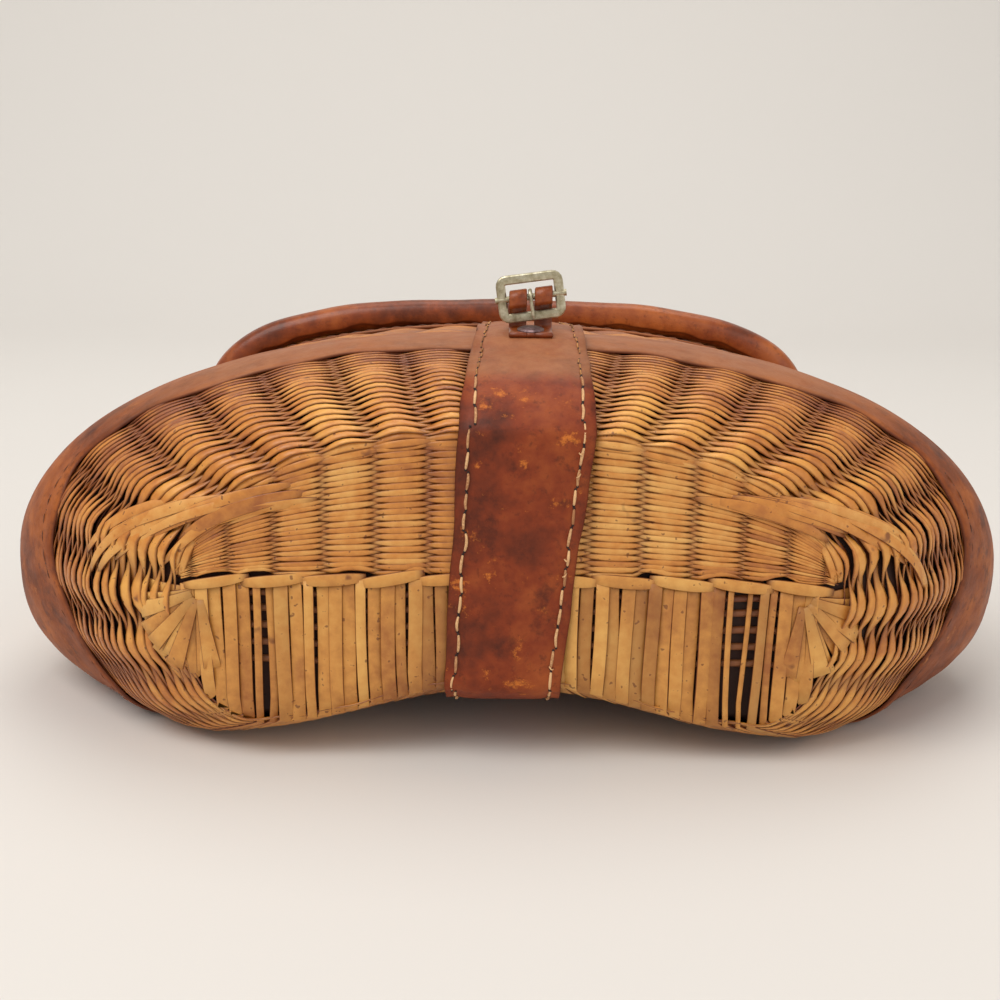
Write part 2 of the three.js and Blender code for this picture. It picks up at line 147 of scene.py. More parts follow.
# The frame's own sizes, in metres.
BASKET_LOW, BASKET_HIGH = (Vector(p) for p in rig.box("basket_body"))
_, BAND_HIGH = (Vector(p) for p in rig.box("belly_band"))
MOUTH_LOW, MOUTH_HIGH = (Vector(p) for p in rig.box("mouth_binding"))
LID_LOW, LID_HIGH = (Vector(p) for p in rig.box("lid_binding"))
PANEL_LOW, PANEL_HIGH = (Vector(p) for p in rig.box("lid_panel"))
CHAPE_LOW, CHAPE_HIGH = (Vector(p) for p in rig.box("buckle_chape"))
BASE_Y = BASKET_LOW.y
BASKET_RISE = BASKET_HIGH.y - BASKET_LOW.y
BASKET_WIDTH = 370 * MM
BASKET_DEPTH = 136.5 * MM
WALL = 4 * MM
FLOOR_CLEAR = 0.15 * MM
BAND_TO = BAND_HIGH.y - BASE_Y
BAND_WIDTH = 31 * MM
BAND_FROM = BAND_TO - BAND_WIDTH
BAND_DROP = 20 * MM

# Sections of the basket from base to mouth, as shares: rise of the height, half and foot of the
# half width, and the rest of the depth, as in the part's source. corner is a power.
SECTIONS = (
    # rise, half, foot, waist, front, lift, hollow, corner
    (0.00, 0.606, 0.475, 0.454, 0.853, 0.115, 0.235, 1.15),
    (0.02, 0.649, 0.503, 0.454, 0.883, 0.090, 0.215, 1.15),
    (0.06, 0.741, 0.563, 0.447, 0.927, 0.052, 0.180, 1.15),
    (0.12, 0.811, 0.616, 0.432, 0.963, 0.028, 0.145, 1.15),
    (0.20, 0.890, 0.659, 0.418, 0.987, 0.018, 0.120, 1.10),
    (0.28, 0.957, 0.719, 0.385, 1.000, 0.0169, 0.105, 0.92),
    (0.36, 1.000, 0.758, 0.350, 1.000, 0.0169, 0.096, 0.76),
    (0.48, 1.000, 0.768, 0.350, 0.985, 0.0169, 0.085, 0.74),
    (0.65, 0.954, 0.734, 0.380, 0.955, 0.0169, 0.065, 0.90),
    (0.82, 0.912, 0.680, 0.405, 0.925, 0.0169, 0.036, 1.05),
    (1.00, 0.871, 0.638, 0.418, 0.895, 0.0169, 0.0169, 1.15),
)
LID_SECTION = (0.78, 0.585, 0.440, 0.982, 0.055, 0.055, 1.15)
SECTION_UNITS = np.array([BASKET_WIDTH / 2, BASKET_WIDTH / 2] + [BASKET_DEPTH] * 4 + [1])
BASKET_FRONT = (0.87, 0.976)
LID_FRONT = (0.68, 0.58)

# Points of an outline from the middle of its front to its widest place.
FRONT_POINTS = 120
# Share of an outline's length between the two points that give its direction.
SHARE_STEP = 0.002

# Weave: stakes round the basket, rows from middle to middle, and how far weavers swing in and out.
STAKES = 32
ROW = 1.45 * MM
BASE_ROW = 1.12 * MM
SPLIT_THICK = 1.0 * MM
WAVE = 1.0 * MM
WALL_WAVE = 1.2 * MM
SLAT_TOP = 65.5 * MM
WEAVE_LOW = 68.6 * MM

# Photograph's camera: distance in front of the base, height, pitch and focal length in pixels.
CAMERA_OUT = 444 * MM
CAMERA_UP = 213 * MM
CAMERA_PITCH = 15.0
FOCAL_PIXELS = 1400
IMAGE_PIXELS = 1000
SENSOR = 36.0


def rng(seed):
    """Seeded random numbers for one piece."""
    return np.random.default_rng(seed)


def unit(vectors):
    """Vectors of length one."""
    return vectors / np.linalg.norm(vectors, axis=1)[:, None]


# Surface of the basket

def section_sizes(y):
    """Half, foot, waist, front, lift, hollow and corner at height y above the base."""
    table = np.array(SECTIONS)
    rise = min(max(y / BASKET_RISE, 0.0), 1.0)
    last = len(table) - 2
    i = min(last, int(np.searchsorted(table[:, 0], rise, side="right")) - 1)
    start, stop = table[i], table[i + 1]
    before, after = table[max(0, i - 1)], table[min(last + 1, i + 2)]
    span = stop[0] - start[0]
    t = (rise - start[0]) / span
    slope_a = span * (stop - before) / (stop[0] - before[0])
    slope_b = span * (after - start) / (after[0] - start[0])
    row = ((2 * t**3 - 3 * t**2 + 1) * start + (t**3 - 2 * t**2 + t) * slope_a
           + (3 * t**2 - 2 * t**3) * stop + (t**3 - t**2) * slope_b)[1:]
    return row * SECTION_UNITS


def section_loop(sizes, front_powers=BASKET_FRONT):
    """Closed kidney-shaped outline as x and z, from the middle of the front round by +X."""
    half, foot, waist, front, lift, hollow, power = sizes
    across, up = front_powers
    a = np.linspace(math.pi / 2, 0, FRONT_POINTS)
    top = np.stack([half * np.cos(a)**across, waist + (front - waist) * np.sin(a)**up], 1)
    top[0, 0] = 0.0
    a = np.linspace(math.pi / 2, 0, FRONT_POINTS // 2)[1:]
    corner = np.stack([foot + (half - foot) * np.sin(a), waist - (waist - lift) * np.cos(a)**power], 1)
    t = np.linspace(1, 0, FRONT_POINTS)[1:]
    back = np.stack([foot * t, lift + (hollow - lift) * np.cos(math.pi / 2 * t)**2], 1)
    side = np.concatenate([top, corner, back])
    other = side[-2:0:-1] * np.array([-1, 1])
    return np.concatenate([side, other, side[:1]])


def along_loop(points, share):
    """Points at shares of the outline's length, and the length."""
    length = np.concatenate([[0], np.cumsum(np.hypot(*np.diff(points, axis=0).T))])
    where = np.mod(share, 1.0) * length[-1]
    return np.stack([np.interp(where, length, points[:, k]) for k in (0, 1)], 1), length[-1]


LOOPS = {}


def grown_loop(loop, share, grow, y):
    """Points of an outline in the plane at y, moved outwards by grow."""
    flat, _ = along_loop(loop, share)
    ahead, _ = along_loop(loop, share + SHARE_STEP)
    behind, _ = along_loop(loop, share - SHARE_STEP)
    run = unit(ahead - behind)
    flat = flat + np.stack([-run[:, 1], run[:, 0]], 1) * np.reshape(grow, (-1, 1))
    return np.stack([flat[:, 0], np.full(len(flat), y), flat[:, 1]], 1)


def ring(y, share, grow=0.0):
    """Points of the basket's outer surface at height y, moved outwards by grow."""
    key = round(y, 6)
    if key not in LOOPS:
        LOOPS[key] = section_loop(section_sizes(y))
    return grown_loop(LOOPS[key], share, grow, BASE_Y + y)


def normals(y, share):
    """Outward normals of the basket's surface, the wall's slope included."""
    step = 1.5 * MM
    low, high = max(0.0, y - step), min(BASKET_RISE, y + step)
    up = ring(high, share) - ring(low, share)
    across = ring(y, share + SHARE_STEP) - ring(y, share - SHARE_STEP)
    n = unit(np.cross(across, up))
    inside = np.array([0, BASE_Y + y, BASKET_DEPTH * 0.45])
    inwards = np.sum(n * (ring(y, share) - inside), axis=1) < 0
    n[inwards] *= -1
    return n


def wall_points(y, share, grow):
    """Points on the wall at a height and an outward growth for each share."""
    y = np.broadcast_to(y, share.shape)
    grow = np.broadcast_to(grow, share.shape)
    step = 2 * MM
    cell = np.floor(y / step).astype(int)
    points = np.empty((len(share), 3))
    for c in np.unique(cell):
        here = cell == c
        t = (y[here] / step - c)[:, None]
        low = ring(c * step, share[here], grow[here])
        high = ring(min((c + 1) * step, BASKET_RISE), share[here], grow[here])
        points[here] = low * (1 - t) + high * t
    return points


def smooth_step(value, low, high):
    """0 below low, 1 above high and smooth between."""
    t = np.clip((value - low) / (high - low), 0, 1)
    return t * t * (3 - 2 * t)


def side_share(points):
    """0 over the basket's front and back, 1 at its sides."""
    return smooth_step(np.abs(points[:, 0]) / (BASKET_WIDTH / 2), 0.55, 0.9)


def band_edge(share):
    """Height of the band's lower edge, which drops over the rear corners."""
    at = ring(BAND_FROM, share)
    rear = 1 - smooth_step(at[:, 2] / BASKET_DEPTH, 0.05, 0.75)
    return BAND_FROM - BAND_DROP * side_share(at) * rear


# Meshes

def link(name, data):
    """New object in the scene."""
    obj = bpy.data.objects.new(name, data)
    bpy.context.scene.collection.objects.link(obj)
    return obj


def new_object(name, points, faces, material, node_slot, body, layers, replaces=()):
    """Mesh object that rides on a body, with named float layers on its points."""
    mesh = bpy.data.meshes.new(name)
    points = np.array(points, dtype=np.float32)
    points[:, 2] = np.maximum(points[:, 2], FLOOR_CLEAR)
    faces = np.asarray(faces, dtype=np.int32)
    mesh.vertices.add(len(points))
    mesh.vertices.foreach_set("co", points.ravel())
    corners = faces.shape[1]
    mesh.loops.add(faces.size)
    mesh.loops.foreach_set("vertex_index", faces.ravel())
    mesh.polygons.add(len(faces))
    mesh.polygons.foreach_set("loop_start", np.arange(0, faces.size, corners, dtype=np.int32))
    mesh.polygons.foreach_set("loop_total", np.full(len(faces), corners, dtype=np.int32))
    mesh.polygons.foreach_set("use_smooth", np.full(len(faces), True))
    mesh.update(calc_edges=True)
    mesh.validate()
    for layer, values in layers.items():
        attribute = mesh.attributes.new(layer, "FLOAT", "POINT")
        attribute.data.foreach_set("value", np.broadcast_to(values, len(points)).astype(np.float32))
    mesh.materials.append(material)
    obj = link(name, mesh)
    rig.ride(obj, body)
    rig.slot(obj, node_slot)
    if replaces:
        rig.replaces(obj, *replaces)
    return obj


def tube_faces(rings, around, closed, caps=True):
    """Quad faces of one strand of rings with around points each."""
    r = np.arange(rings if closed else rings - 1)
    k = np.arange(around)
    a = (r[:, None] * around + k).ravel()
    b = (r[:, None] * around + (k + 1) % around).ravel()
    c = (((r[:, None] + 1) % rings) * around + (k + 1) % around).ravel()
    d = (((r[:, None] + 1) % rings) * around + k).ravel()
    faces = np.stack([a, b, c, d], 1)
    if not closed and caps:
        low = [[(around - 1 - v) % around for v in quad] for quad in cap_quads(around)]
        high = [[(rings - 1) * around + v for v in quad] for quad in cap_quads(around)]
        faces = np.concatenate([faces, low, high])
    return faces


def cap_quads(around):
    """Quads that fill a ring with an even number of points."""
    return [(i, i + 1, around - 2 - i, around - 1 - i) for i in range(around // 2 - 1)]


class Strands:
    """Collects many strands into one mesh."""

    def __init__(self):
        self.points, self.faces, self.layers, self.count = [], [], {}, 0

    def add(self, rings, closed=False, **layers):
        """rings is an array of (ring, around, 3); each layer has one value a point."""
        number, around, _ = rings.shape
        self.points.append(rings.reshape(-1, 3))
        self.faces.append(tube_faces(number, around, closed) + self.count)
        for name, values in layers.items():
            full = np.broadcast_to(np.asarray(values, dtype=float), (number, around)).ravel()
            self.layers.setdefault(name, []).append(full)
        self.count += number * around

    def make(self, name, material, slot, body, replaces=()):
        """The mesh object."""
        layers = {key: np.concatenate(value) for key, value in self.layers.items()}
        return new_object(name, np.concatenate(self.points), np.concatenate(self.faces),
                          material, slot, body, layers, replaces)


OVAL = np.array([0.0, 60.0, 120.0, 180.0, 240.0, 300.0]) * math.pi / 180


def split_rings(centre, side, out, thick):
    """Oval rings of a willow split: side is its half width, out its outward normal."""
    out = np.broadcast_to(out, centre.shape)
    c = np.cos(OVAL)[None, :, None]
    s = np.sin(OVAL)[None, :, None]
    return centre[:, None] + side[:, None] * c + out[:, None] * s * np.reshape(thick, (-1, 1, 1)) / 2


def over_under(column, parity, power=0.75):
    """1 where a weaver lies over a stake, -1 where it lies under, and rounded between."""
    wave = np.cos(math.pi * (column + parity))
    return np.sign(wave) * np.abs(wave)**power


# Painted shade on the six points round a weaver: most on its lower edge, a little on its upper one.
LOW_EDGE_SHADE = 0.95 * np.maximum(-np.cos(OVAL), 0) + 0.3 * np.maximum(np.cos(OVAL), 0)

# Weavers stand out and shift up where they cross a stake, by these, until they near the band.
CREST_OUT = 1.3 * MM
CREST_UP = 0.5
CREST_LOW = 0.45
CREST_FADE = (BAND_FROM - 22 * MM, BAND_FROM - 12 * MM)
# Shares of the outline at both corners where the weavers are loose, and how much more they drift.
LOOSE_FROM = (0.17, 0.21)
LOOSE_TO = (0.27, 0.30)
LOOSE_DRIFT = 3.6
# The weave is calmer behind the slats, between these shares and below these heights.
CALM_FROM = (0.27, 0.30)
CALM_TO = (0.70, 0.73)
CALM_BELOW = (38 * MM, 46 * MM)
POINTS_A_STAKE = 7
SHINGLE = 0.35 * MM


def crest_at(column):
    """How far a weaver stands out: most over a stake, and below zero between two."""
    return np.abs(np.cos(math.pi * column))**1.6 - CREST_LOW


def row_heights(low, high, row):
    """Heights of rows spaced evenly along the wall, one more at each end, and their count."""
    profile = np.linspace(0, BASKET_RISE, 800)
    sizes = np.array([section_sizes(y) for y in profile])
    reach = 0.7 * sizes[:, 3] + 0.3 * sizes[:, 0]
    length = np.concatenate([[0], np.cumsum(np.hypot(np.diff(profile), np.diff(reach)))])
    start, stop = np.interp([low, high], profile, length)
    count = int(round((stop - start) / row))
    return np.interp(start + (np.arange(-1, count + 2) + 0.5) * row, length, profile), count


def weave_wall(name, low, high, seed, row, tone=0.0):
    """Closed rows of weavers round the wall between two heights above the base."""
    random = rng(seed)
    heights, count = row_heights(low, high, row)
    steps = STAKES * POINTS_A_STAKE
    share = np.arange(steps) / steps
    column = share * STAKES
    crest = crest_at(column)
    around = np.cos(2 * math.pi * share)
    near = np.minimum(share, 1 - share)
    corner = smooth_step(near, *LOOSE_FROM) * (1 - smooth_step(near, *LOOSE_TO))
    under = smooth_step(share, *CALM_FROM) * (1 - smooth_step(share, *CALM_TO))
    strands = Strands()
    for k in range(1, count + 1):
        y = heights[k]
        wave = over_under(column, k % 2, 1.15)
        drift = 0.25 * np.interp(column, np.arange(STAKES + 1), random.normal(size=STAKES + 1))
        drift[-1] = drift[0]
        uneven = np.repeat(random.normal(size=STAKES), POINTS_A_STAKE)
        side = (ring(heights[k + 1], share) - ring(heights[k - 1], share)) * 0.5
        n = normals(y, share)
        loose = corner * (y < BAND_FROM)
        free = 1 - smooth_step(y, *CREST_FADE)
        calm = 1 - 0.75 * under * (1 - smooth_step(y, *CALM_BELOW))
        rise = (wave * WALL_WAVE + crest * free * CREST_OUT) * calm + 0.1 * MM * around
        shift = 0.35 * drift * (1 + LOOSE_DRIFT * loose) + CREST_UP * crest * free
        centre = ring(y, share) + n * rise[:, None] + side * shift[:, None]
        fat = 0.62 + 0.5 * np.abs(wave)**0.8 + 0.24 * wave + 0.09 * uneven
        fat -= 0.2 * loose * (1 - 0.5 * uneven)
        shingle = side * fat[:, None] - n * SHINGLE
        each = np.repeat(random.normal(size=STAKES), POINTS_A_STAKE)
        pale = 0.9 - 1.9 * min(y / BAND_FROM, 1.0)
        # The deep layer paints shade where the weaver dips under a stake, and the edge layer paints shade along its
        # lower edge.
        strands.add(split_rings(centre, shingle, n, SPLIT_THICK * (0.85 + 0.2 * wave)), True,
                    tone=(tone + pale + 0.6 * each)[:, None],
                    deep=((1 - wave) / 2)[:, None],
                    edge=LOW_EDGE_SHADE[None, :])
    return strands.make(name, finishes()["wall"], "willow", "basket")


# Section of a flat split with rounded corners, as shares of its half width and half thickness.
FLAT = np.array([(1, 0.5), (0.86, 1), (-0.86, 1), (-1, 0.5),
                 (-1, -0.5), (-0.86, -1), (0.86, -1), (1, -0.5)])
# Painted shade along a flat split's two narrow sides.
STRIP_EDGE_SHADE = np.where(np.abs(FLAT[:, 0]) > 0.95, 1.0, 0.2)[None, :]


def flat_rings(centre, side, out, thick):
    """Rings of a flat split with rounded corners."""
    c = FLAT[:, 0][None, :, None]
    s = FLAT[:, 1][None, :, None]
    return centre[:, None] + side[:, None] * c + out[:, None] * s * np.reshape(thick, (-1, 1, 1)) / 2


def tangents(path):
    """Unit directions along a path of points."""
    return unit(np.gradient(path, axis=0))


def strip_along(strands, path, out, width, thick, **layers):
    """Adds a flat split along a path, with its outward normals."""
    out = np.broadcast_to(out, path.shape)
    side = unit(np.cross(tangents(path), out))
    wide = np.reshape(np.broadcast_to(width, len(path)), (-1, 1)) / 2
    strands.add(flat_rings(path, side * wide, out, np.broadcast_to(thick, len(path))), **layers)


def cord_along(strands, path, radius, around=8, **layers):
    """Adds a round strand along a path."""
    run = tangents(path)
    up = np.where(np.abs(run[:, 2:3]) > 0.9, [[0.0, 1.0, 0.0]], [[0.0, 0.0, 1.0]])
    side = unit(np.cross(run, up))
    out = np.cross(side, run)
    a = np.arange(around) * 2 * math.pi / around
    wide = np.reshape(np.broadcast_to(radius, len(path)), (-1, 1, 1))
    spokes = side[:, None] * np.cos(a)[None, :, None] + out[:, None] * np.sin(a)[None, :, None]
    strands.add(path[:, None] + wide * spokes, **layers)


# Materials

def linear(*rgb):
    """Linear colour from sRGB numbers of 0 to 255."""
    parts = [c / 255 for c in rgb]
    return tuple(c / 12.92 if c <= 0.04045 else ((c + 0.055) / 1.055)**2.4 for c in parts) + (1.0,)


class Nodes:
    """Small helper that lays out one material's nodes."""

    def __init__(self, name):
        self.material = bpy.data.materials.new(name)
        self.material.use_nodes = True
        self.tree = self.material.node_tree
        self.shader = self.tree.nodes["Principled BSDF"]
        self.place = self.add("ShaderNodeTexCoord").outputs["Object"]

    def add(self, kind, **values):
        """A node with its inputs set or linked by name."""
        node = self.tree.nodes.new(kind)
        self.fill(node, values)
        return node

    def fill(self, node, values):
        """Sets or links inputs of a node."""
        for key, value in values.items():
            self.put(node.inputs[key], value)

    def put(self, socket, value):
        """Links a socket to another or sets its value."""
        if isinstance(value, bpy.types.NodeSocket):
            self.tree.links.new(value, socket)
        else:
            socket.default_value = value

    def noise(self, scale, detail, rough=0.55):
        """Noise factor at a scale a metre."""
        return self.add("ShaderNodeTexNoise", Vector=self.place, Scale=scale, Detail=detail,
                        Roughness=rough).outputs["Fac"]

    def layer(self, name):
        """A named layer of the mesh."""
        node = self.add("ShaderNodeAttribute")
        node.attribute_name = name
        return node.outputs["Fac"]

    def ramp(self, factor, *stops):
        """Colour ramp of (position, colour) stops."""
        node = self.add("ShaderNodeValToRGB", Fac=factor)
        while len(node.color_ramp.elements) < len(stops):
            node.color_ramp.elements.new(0.5)
        for element, (where, colour) in zip(node.color_ramp.elements, stops):
            element.position = where
            element.color = colour
        return node.outputs["Color"]

    def span(self, value, low, high, to_low, to_high):
        """Value mapped and clamped from one range to another."""
        node = self.add("ShaderNodeMapRange", Value=value)
        for key, number in (("From Min", low), ("From Max", high), ("To Min", to_low), ("To Max", to_high)):
            node.inputs[key].default_value = number
        return node.outputs["Result"]

    def maths(self, kind, a, b):
        """Math of two values."""
        node = self.add("ShaderNodeMath")
        node.operation = kind
        self.put(node.inputs[0], a)
        self.put(node.inputs[1], b)
        return node.outputs[0]

    def mix(self, factor, a, b):
        """Mix of two colours."""
        node = self.add("ShaderNodeMix")
        node.data_type = "RGBA"
        for place, value in ((0, factor), (6, a), (7, b)):
            self.put(node.inputs[place], value)
        return node.outputs[2]

    def bump(self, height, strength, distance, under=None):
        """Bump of a height in metres."""
        node = self.add("ShaderNodeBump", Height=height, Strength=strength, Distance=distance)
        if under:
            self.tree.links.new(under, node.inputs["Normal"])
        return node.outputs[0]

    def finish(self, **values):
        """Sets the shader's sockets and gives the material."""
        self.fill(self.shader, {key.replace("_", " "): value for key, value in values.items()})
        return self.material


def willow(name, pale, mid, deep, dark, rough, coat):
    """Split willow: tone by strand, dark where a weaver dips under a stake, fine grain."""
    n = Nodes(name)
    speckle = n.noise(260, 4)
    patch = n.noise(22, 3)
    tone = n.maths("ADD", n.maths("MULTIPLY", n.layer("tone"), 0.16), n.span(patch, 0.3, 0.7, 0.22, 0.72))
    tone = n.maths("ADD", tone, n.span(speckle, 0.3, 0.7, -0.13, 0.13))
    colour = n.ramp(tone, (0.1, deep), (0.48, mid), (0.9, pale))
    # Painted shade: the deep layer darkens strands towards the dark colour where they dip under a stake or tuck away.
    shade = n.span(n.layer("deep"), 0.18, 0.85, 0.0, 0.95)
    colour = n.mix(shade, colour, dark)
    # Painted shade along the strands' edges, from the edge layer.
    rim = n.span(n.layer("edge"), 0.5, 1.0, 0.0, 0.9)
    colour = n.mix(rim, colour, dark)
    spots = n.span(n.noise(95, 2, rough=0.7), 0.70, 0.76, 0.0, 0.75)
    colour = n.mix(spots, colour, dark)
    specks = n.span(n.noise(520, 1, rough=0.5), 0.70, 0.75, 0.0, 0.7)
    colour = n.mix(specks, colour, dark)
    return n.finish(Base_Color=colour, Roughness=n.span(patch, 0.3, 0.7, rough - 0.1, rough + 0.15),
                    Normal=n.bump(speckle, 0.5, 0.25 * MM), Coat_Weight=coat, Coat_Roughness=0.3)


def leather(name, pale, mid, dark, scuff, wear, rough, coat):
    """Worn leather: blotches, scars, soil, flecks, dust, dark cut edges and grain."""
    n = Nodes(name)
    blotch = n.noise(26, 5, rough=0.62)
    small = n.noise(160, 4, rough=0.6)
    blend = n.maths("ADD", n.maths("MULTIPLY", blotch, 0.75), n.maths("MULTIPLY", small, 0.25))
    colour = n.ramp(blend, (0.36, dark), (0.5, mid), (0.64, pale))
    scar = n.noise(55, 7, rough=0.78)
    colour = n.mix(n.span(scar, 0.66 - 0.06 * wear, 0.72 - 0.06 * wear, 0.0, 0.85), colour, scuff)
    soil = n.noise(70, 6, rough=0.7)
    colour = n.mix(n.span(soil, 0.56, 0.68, 0.0, 0.75), colour, dark)
    flecks = n.noise(340, 4, rough=0.7)
    colour = n.mix(n.span(flecks, 0.56, 0.70, 0.0, 0.55), colour, dark)
    # Dust and painted sheen: pale patches on the leather that faces up.
    patchy = n.span(n.noise(120, 6, rough=0.75), 0.35, 0.62, 0.5, 0.95)
    colour = n.mix(n.maths("MULTIPLY", n.layer("dust_and_sheen"), patchy), colour, linear(*DUST_AND_SHEEN))
    colour = n.mix(n.span(n.layer("edge"), 0.6, 1.0, 0.0, 0.85), colour, dark)
    grain = n.add("ShaderNodeTexVoronoi", Vector=n.place, Scale=1500)
    bump = n.bump(grain.outputs["Distance"], 0.35, 0.12 * MM)
    bump = n.bump(small, 0.55, 0.5 * MM, bump)
    return n.finish(Base_Color=colour, Roughness=n.span(scar, 0.3, 0.75, rough - 0.08, rough + 0.22),
                    Normal=bump, Coat_Weight=coat, Coat_Roughness=0.25, Specular_IOR_Level=0.28)


def metal(name, pale, mid, dark):
    """Aged metal with dull patches and small pits."""
    n = Nodes(name)
    patch = n.noise(300, 5, rough=0.7)
    pits = n.noise(1400, 2)
    colour = n.ramp(patch, (0.34, dark), (0.5, mid), (0.68, pale))
    bump = n.bump(pits, 0.3, 0.08 * MM)
    return n.finish(Base_Color=colour, Roughness=n.span(patch, 0.3, 0.7, 0.55, 0.3), Normal=bump,
                    Metallic=0.85)


def plain_fibre(name, pale, dark):
    """Waxed thread with a fine twist."""
    n = Nodes(name)
    twist = n.noise(1500, 2)
    tone = n.maths("ADD", n.maths("MULTIPLY", n.layer("tone"), 0.2), twist)
    colour = n.ramp(tone, (0.2, dark), (0.7, pale))
    return n.finish(Base_Color=colour, Roughness=0.7, Normal=n.bump(twist, 0.4, 0.1 * MM))


def stage_finish(name, colour):
    """Plain pale cloth."""
    n = Nodes(name)
    weave = n.noise(900, 2)
    shade = tuple(c * 0.94 for c in colour[:3]) + (1,)
    tint = n.mix(n.span(n.noise(1.2, 2), 0.3, 0.7, 0.0, 0.25), colour, shade)
    return n.finish(Base_Color=tint, Roughness=0.9, Normal=n.bump(weave, 0.1, 0.1 * MM))


# Colours are sRGB numbers of 0 to 255.
# Pale colour of the dust and painted sheen on the leather that faces up.
DUST_AND_SHEEN = (162, 102, 64)
CLOTH = (221, 217, 212)
SHADOW = (98, 40, 13)
# Near-black of the inner skin: painted shadow inside the basket.
HOLLOW_SHADOW = (16, 6, 3)
WILLOWS = {
    # name: pale, middle, deep and dark colours, roughness, coat
    "base": ((226, 170, 92), (204, 132, 54), (158, 88, 34), SHADOW, 0.5, 0.15),
    "wall": ((228, 164, 76), (202, 126, 46), (150, 78, 24), SHADOW, 0.45, 0.2),
    "slat": ((226, 172, 92), (204, 140, 64), (158, 92, 36), SHADOW, 0.55, 0.1),
    # The inner skin's colours are painted shade: near-black where the basket's inside lies in shadow.
    "lining": ((70, 32, 14), (46, 20, 9), (30, 12, 5), HOLLOW_SHADOW, 0.8, 0),
}
LEATHERS = {
    # name: pale, middle, dark and scuffed colours, wear, roughness, coat
    "band": ((172, 94, 38), (136, 66, 22), (82, 35, 12), (180, 112, 64), 0.8, 0.55, 0.05),
    "strap": ((158, 76, 30), (128, 50, 17), (74, 27, 9), (208, 118, 44), 1.2, 0.56, 0.05),
    "lid": ((172, 92, 38), (136, 62, 22), (86, 36, 13), (168, 98, 52), 0.3, 0.38, 0.3),
}
THREADS = {
    # name: pale and dark colours
    "waxed_thread": ((226, 180, 128), (168, 112, 70)),
    "gold_thread": ((186, 130, 72), (128, 80, 38)),
    "dark_thread": ((120, 66, 36), (70, 32, 16)),
    # Needle holes are painted shade: near-black rings where the thread goes into the leather.
    "hole_shade": ((40, 14, 6), (22, 8, 4)),
}
METALS = {
    # name: pale, middle and dark colours
    "aged_metal": ((214, 208, 184), (184, 176, 148), (146, 136, 108)),
    "rivet_metal": ((156, 132, 132), (122, 98, 100), (80, 60, 60)),
}
FINISH = {}


def finishes():
    """All materials, made once."""
    if FINISH:
        return FINISH
    for name, (*colours, rough, coat) in WILLOWS.items():
        pale, mid, deep, dark = (linear(*colour) for colour in colours)
        if name == "base":
            mid = (*bpy.context.scene.creel_looks.willow, 1.0)
        FINISH[name] = willow(name + "_willow", pale, mid, deep, dark, rough, coat)
    for name, (*colours, wear, rough, coat) in LEATHERS.items():
        colours = (linear(*colour) for colour in colours)
        FINISH[name] = leather(name + "_leather", *colours, wear, rough, coat)
    for name, colours in THREADS.items():
        FINISH[name] = plain_fibre(name, *(linear(*colour) for colour in colours))
    for name, colours in METALS.items():
        FINISH[name] = metal(name, *(linear(*colour) for colour in colours))
    FINISH["floor"] = stage_finish("pale_cloth", linear(*CLOTH))
    return FINISH


# Basket

SKIN_POINTS = 160
SKIN_DEPTH = 2.7 * MM
PLAIN_LAYERS = {"tone": 0.0, "deep": 0.0, "edge": 0.0}


def closing_quads(start, count, middle):
    """Quads that close a ring of points with a point in its middle."""
    return [[start + i, start + i + 1, start + (i + 2) % count, middle] for i in range(0, count, 2)]


def lining():
    """Dark inner skin of the wall and base, seen through the gaps and from inside."""
    share = np.arange(SKIN_POINTS) / SKIN_POINTS
    outside = np.concatenate([[0.0, 1, 2, 4], np.arange(7, 200, 6), [198]]) * MM
    inside = np.concatenate([[198.0], np.arange(194, 8, -7), [6, 4.5]]) * MM
    outer = [ring(y, share, -SKIN_DEPTH) for y in outside]
    inner = [ring(y, share, -WALL) for y in inside]
    rings = np.array(outer + inner)
    for k, y in enumerate((1.6, 2.0, 2.6)):
        rings[k, :, 1] = BASE_Y + y * MM
    points = np.concatenate([rings.reshape(-1, 3), rings[[0, -1]].mean(axis=1)])
    last = len(points) - 2
    base = [quad[::-1] for quad in closing_quads(0, SKIN_POINTS, last)]
    floor = closing_quads(last - SKIN_POINTS, SKIN_POINTS, last + 1)
    faces = np.concatenate([tube_faces(len(rings), SKIN_POINTS, False, caps=False), base, floor])
    return new_object("basket_inner_shade", points, faces, finishes()["lining"], "willow", "basket",
                      PLAIN_LAYERS, ("basket_body",))


def lower_wall():
    """Weave from the base to just under the belly band."""
    return weave_wall("lower_wall_weave", 0.0, BAND_FROM + 3 * MM, 1, ROW, 0.25)


def upper_wall():
    """Weave from under the belly band to inside the mouth's binding, with wider rows."""
    return weave_wall("upper_wall_weave", BAND_TO - 2 * MM, BASKET_RISE - 8 * MM, 2, ROW * 1.15)


# Outline of the base and the way that it faces.
BASE_LOOP = section_loop(section_sizes(0.0))
FACE = np.array([0.0, -1.0, 0.0])


def edge_column(x):
    """Number of stakes from the front's middle to the base's front edge at x."""
    length = np.concatenate([[0], np.cumsum(np.hypot(*np.diff(BASE_LOOP, axis=0).T))])
    along = np.interp(np.abs(x), BASE_LOOP[:FRONT_POINTS, 0], length[:FRONT_POINTS])
    return np.sign(x) * along / length[-1] * STAKES


# Places along x and half lengths of the lens-shaped gaps above the twined band, in millimetres,
# how far they open and over how many rows they close.
LENS_GAPS = ((-97, 7), (-84, 6), (-51.5, 6), (-30, 4), (48, 6), (71, 7), (91, 6))
LENS_RISE = 1.9 * MM
LENS_ROWS = 4
# The rows end where they have drawn together to this share, and a random part more.
ROW_ENDS = 0.10
ROW_ENDS_MORE = 0.12
# Depth by which the last rows turn over the front edge, within this distance of it.
EDGE_TURN = 1.2 * MM
EDGE_SPAN = 4 * MM


def by_column(column, random, reach):
    """A random number for each stake, from -reach to reach, read at each column."""
    return np.interp(column, np.arange(-reach, reach + 1), random.normal(size=2 * reach + 1))


